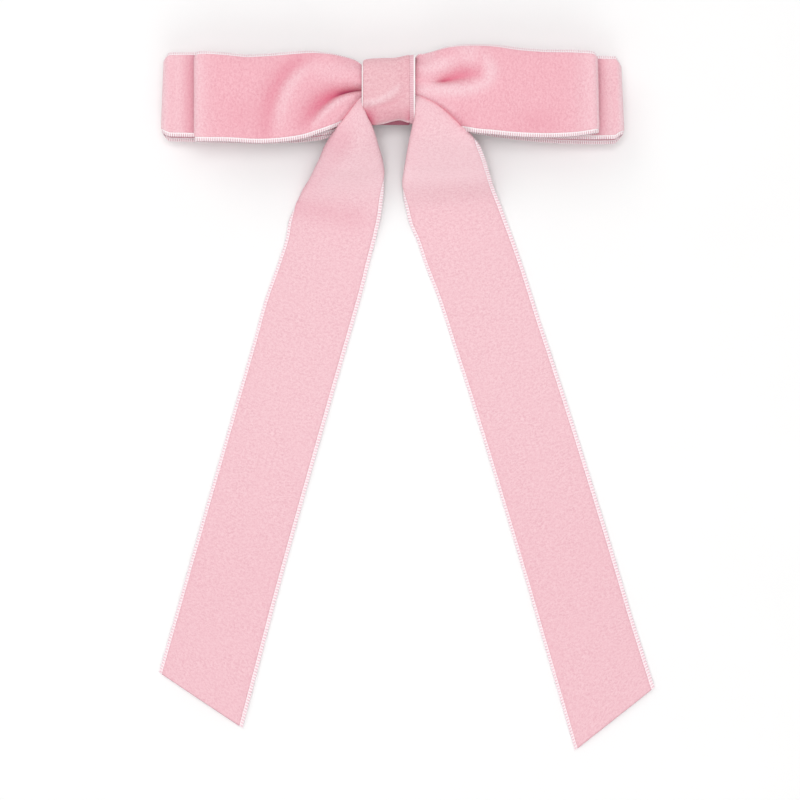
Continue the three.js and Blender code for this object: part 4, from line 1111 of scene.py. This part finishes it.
W = Wrap()
s = across(WRAP_W, 0.5, 1.5, 0.4)
u = np.arange(180) / 180 * W.length
uu, ss = np.meshgrid(u, s, indexing="ij")
P, Nn = W.at_n(uu, ss)
edge = np.minimum(ss - 0.5, WRAP_W - 1.5 - ss)
shoulder = np.sqrt(np.clip(1 - (1 - np.clip(edge / 0.45, 0, 1)) ** 2, 0, 1))
front = 0.08 + 0.27 * shoulder
corner = np.clip(
    smooth(-P[..., 0], 2.0, 6.5) * smooth(-P[..., 1], 2.0, 6.5) + smooth(P[..., 0], 4.4, 6.6) * smooth(-P[..., 1], 3.5, 7.0), 0, 1
) * smooth(P[..., 2], 11, 13)
under = (1 - smooth(P[..., 2], 13.7, 14.5)) * (P[..., 1] < 0)
lip = np.exp(-(((P[..., 2] - 15.0) / 0.5) ** 2)) * (P[..., 1] < 0)
# painted shade in the corners pressed in under the tails, towards the bottom, at the lower right, on the underside, a
# little on the right half and in a fold across the front
pink_shade = np.clip(0.82 * corner + 0.2 * smooth(-P[..., 1], 0.0, 5.0) + 0.1 * smooth(P[..., 0], 3.4, 5.4) * smooth(-P[..., 1], 2.2, 4.5) + 0.2 * under, 0, 0.9)
pink_shade = np.maximum(pink_shade, 0.06 * smooth(P[..., 0], 1.5, 4.0) * smooth(P[..., 1], -2.5, 2.0))
pink_shade = np.maximum(pink_shade, 0.22 * crease(P[..., 0], P[..., 1], [(-5.4, -3.4), (-1.4, -2.6), (2.2, -1.2), (5.2, 1.6)], [0.8, 1, 0.8, 0.2], 0.9, 1.0))
# painted highlight along the lower lip and on a fold across the front
open_pile_and_highlight = 0.75 * lip * smooth(P[..., 0], -4.5, -1.5)
open_pile_and_highlight = np.maximum(open_pile_and_highlight, 0.4 * crease(P[..., 0], P[..., 1], [(-6.6, -2.0), (-3.2, -1.5), (0.2, 0.1), (3.2, 2.4)], [0.9, 1, 0.9, 0.3], 0.8, 0.7) * (P[..., 2] > 14))
# dark painted shade on the underside and at the lower right
shade = 0.62 * under + 0.16 * smooth(P[..., 0], 4.8, 6.8) * smooth(-P[..., 1], 3.0, 6.0) + 0.03 * corner
rib = np.stack([ss, uu, np.zeros_like(ss)], -1)
if np.mean(Nn[..., 2][P[..., 2] > 18]) < 0:
    raise RuntimeError("wrap normals point in")
wrap = thick_sheet("centre_wrap_velvet", P, Nn, front, np.full_like(front, -0.22), [M_WRAP, M_BACK], {"rib": rib, "pink_shade": pink_shade, "open_pile_and_highlight": open_pile_and_highlight, "shade": shade}, closed=True)
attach(wrap, "bow_and_base")
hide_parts("centre_wrap")
for side, word in ((0, "left"), (1, "right")):
    uq = np.linspace(0, W.length, 500)
    line = W.at(uq[:, None], np.full((500, 1), 0.4 if side == 0 else WRAP_W - 0.4))[:, 0]
    L = np.concatenate([[0], np.cumsum(np.linalg.norm(np.diff(line, axis=0), axis=1))])
    selvage(f"centre_wrap_selvage_{word}", W.at_n, lambda d, L=L, uq=uq: np.interp(d, L, uq), L[-1], side, M_SELV_WRAP, "bow_and_base", closed=True, total=WRAP_W, width=(0.5, 1.5)[side], style="corded")


# ---------------------------------------------------------------- lining on the base, and the gathering thread
def arch(x):
    return np.where(np.abs(x) >= 33, 7.0, 7.0 + 2.6 * (1 - (x / 33) ** 2))


s = np.linspace(-6, 6, 25)
u = np.linspace(-32.4, 32.4, 541)
uu, ss = np.meshgrid(u, s, indexing="ij")
rib_ = np.abs(np.cos(pi * uu / 0.72)) ** 1.4
z = arch(uu) + 0.8 + 0.3 + 0.175
edge = 6 - np.abs(ss)
P = np.stack([uu, ss, z], -1)
slope = np.gradient(z, axis=0) / np.gradient(uu, axis=0)
Nn = unit(np.stack([-slope, np.zeros_like(z), np.ones_like(z)], -1))
front = 0.06 + 0.11 * rib_ * smooth(edge, 0.0, 0.35)
back = -(0.06 + 0.11 * rib_ * smooth(edge, 0.0, 0.35))
lining = thick_sheet("lining_grosgrain", P, Nn, front, back, [M_GROS, M_GROS], {"rib": np.stack([ss, uu, 0 * uu], -1), "gap": 1 - rib_})
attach(lining, "bow_and_base")
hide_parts("backing_ribbon")


def tube(name, path, radius, mat, sides=10, twist=0.0, lobes=0):
    path = np.asarray(path, float)
    T = unit(np.gradient(path, axis=0))
    ref = np.array([1.0, 0, 0])
    A = unit(np.cross(T, ref))
    B = np.cross(T, A)
    L = np.concatenate([[0], np.cumsum(np.linalg.norm(np.diff(path, axis=0), axis=1))])
    k = np.arange(sides) / sides * 2 * pi
    ang = k[None, :] + 0 * L[:, None]
    r = radius * (1 + (0.12 * np.cos(lobes * (ang - twist * L[:, None])) if lobes else 0))
    V = path[:, None] + r[..., None] * (np.cos(ang)[..., None] * A[:, None] + np.sin(ang)[..., None] * B[:, None])
    n = len(path)
    idx = np.arange(n * sides).reshape(n, sides)
    nx = np.roll(idx, -1, 1)
    q = np.stack([idx[:-1].ravel(), nx[:-1].ravel(), nx[1:].ravel(), idx[1:].ravel()], 1)
    verts = np.concatenate([V.reshape(-1, 3), path[:1], path[-1:]])
    c0, c1 = n * sides, n * sides + 1
    tris = [(idx[0, (j + 1) % sides], idx[0, j], c0) for j in range(sides)] + [(idx[-1, j], idx[-1, (j + 1) % sides], c1) for j in range(sides)]
    return mesh_object(name, verts, q, [mat], None, None, True, tris)


turns = 3
k = np.linspace(0, 2 * pi * turns, 420)
c_, s_ = np.cos(k), np.sin(k)
kk = 1 / (np.abs(c_) ** 6 + np.abs(s_) ** 6) ** (1 / 6)
path = np.stack([-1.6 + 3.2 * k / k[-1], 2.3 + 5.35 * c_ * kk, 14.3 + 2.85 * s_ * kk], -1)
thread = tube("gathering_thread_twist", path, 0.17, M_THREAD, 12, 3.2, 3)
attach(thread, "bow_and_base")
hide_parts("gathering_thread")

# ---------------------------------------------------------------- the clip's metal
METAL = {
    "clip_base": (M_NICKEL, "nickel_steel", "bow_and_base", 0.12),
    "clasp_arm": (M_NICKEL, "nickel_steel", "clasp", 0.12),
    "latch_bracket": (M_NICKEL, "nickel_steel", "bow_and_base", 0.06),
    "leaf_spring": (M_SPRING, "spring_steel", "bow_and_base", 0.06),
    "latch_jaw_front": (M_SPRING, "spring_steel", "jaw_front", 0.07),
    "latch_jaw_back": (M_SPRING, "spring_steel", "jaw_back", 0.07),
    "hinge_pin": (M_PIN, "pin_steel", "bow_and_base", 0.08),
    "latch_rivet": (M_PIN, "pin_steel", "bow_and_base", 0.08),
}
for node, (mat, slot_name, body, width) in METAL.items():
    src = bpy.data.objects[node]
    for sl in src.material_slots:
        sl.material = mat

# ---------------------------------------------------------------- floor and light
fm, nt, bs = new_material("floor_paper")
obj = N(nt, "ShaderNodeTexCoord").outputs["Object"]
n = noise(nt, obj, 35, 3)
nt.links.new(mix_rgb(nt, n, (0.93, 0.93, 0.93, 1), (0.95, 0.95, 0.95, 1)), bs.inputs["Base Color"])
bs.inputs["Roughness"].default_value = 0.95
bs.inputs["Specular IOR Level"].default_value = 0.1
F = 1500.0
floor = mesh_object(
    "floor", [(-F, -F, -0.02), (F, -F, -0.02), (F, F, -0.02), (-F, F, -0.02)], [(0, 1, 2, 3)], [fm], None, None, False
)

scene = bpy.context.scene
world = bpy.data.worlds.new("studio")
scene.world = world
world.use_nodes = True
bg = world.node_tree.nodes["Background"]
bg.inputs["Color"].default_value = (1.0, 0.995, 0.99, 1)
bg.inputs["Strength"].default_value = 0.5
scene.view_settings.view_transform = "Standard"
scene.view_settings.look = "None"


def area_light(name, loc, target, size, power, color=(1, 1, 1)):
    ld = bpy.data.lights.new(name, "AREA")
    ld.shape = "DISK"
    ld.size = size
    ld.energy = power
    ld.color = color
    ob = bpy.data.objects.new(name, ld)
    ob.location = loc
    ob.rotation_euler = (Vector(target) - Vector(loc)).to_track_quat("-Z", "Y").to_euler()
    scene.collection.objects.link(ob)
    return ob


area_light("top", (-0.02, 0.0, 1.3), (0, -0.06, 0), 0.6, 7.0)
area_light("key", (-0.6, 0.7, 1.0), (0, -0.05, 0), 0.9, 2.6, (1, 0.995, 0.985))
area_light("front", (0.1, -0.85, 0.95), (0, -0.03, 0), 0.8, 2.1)
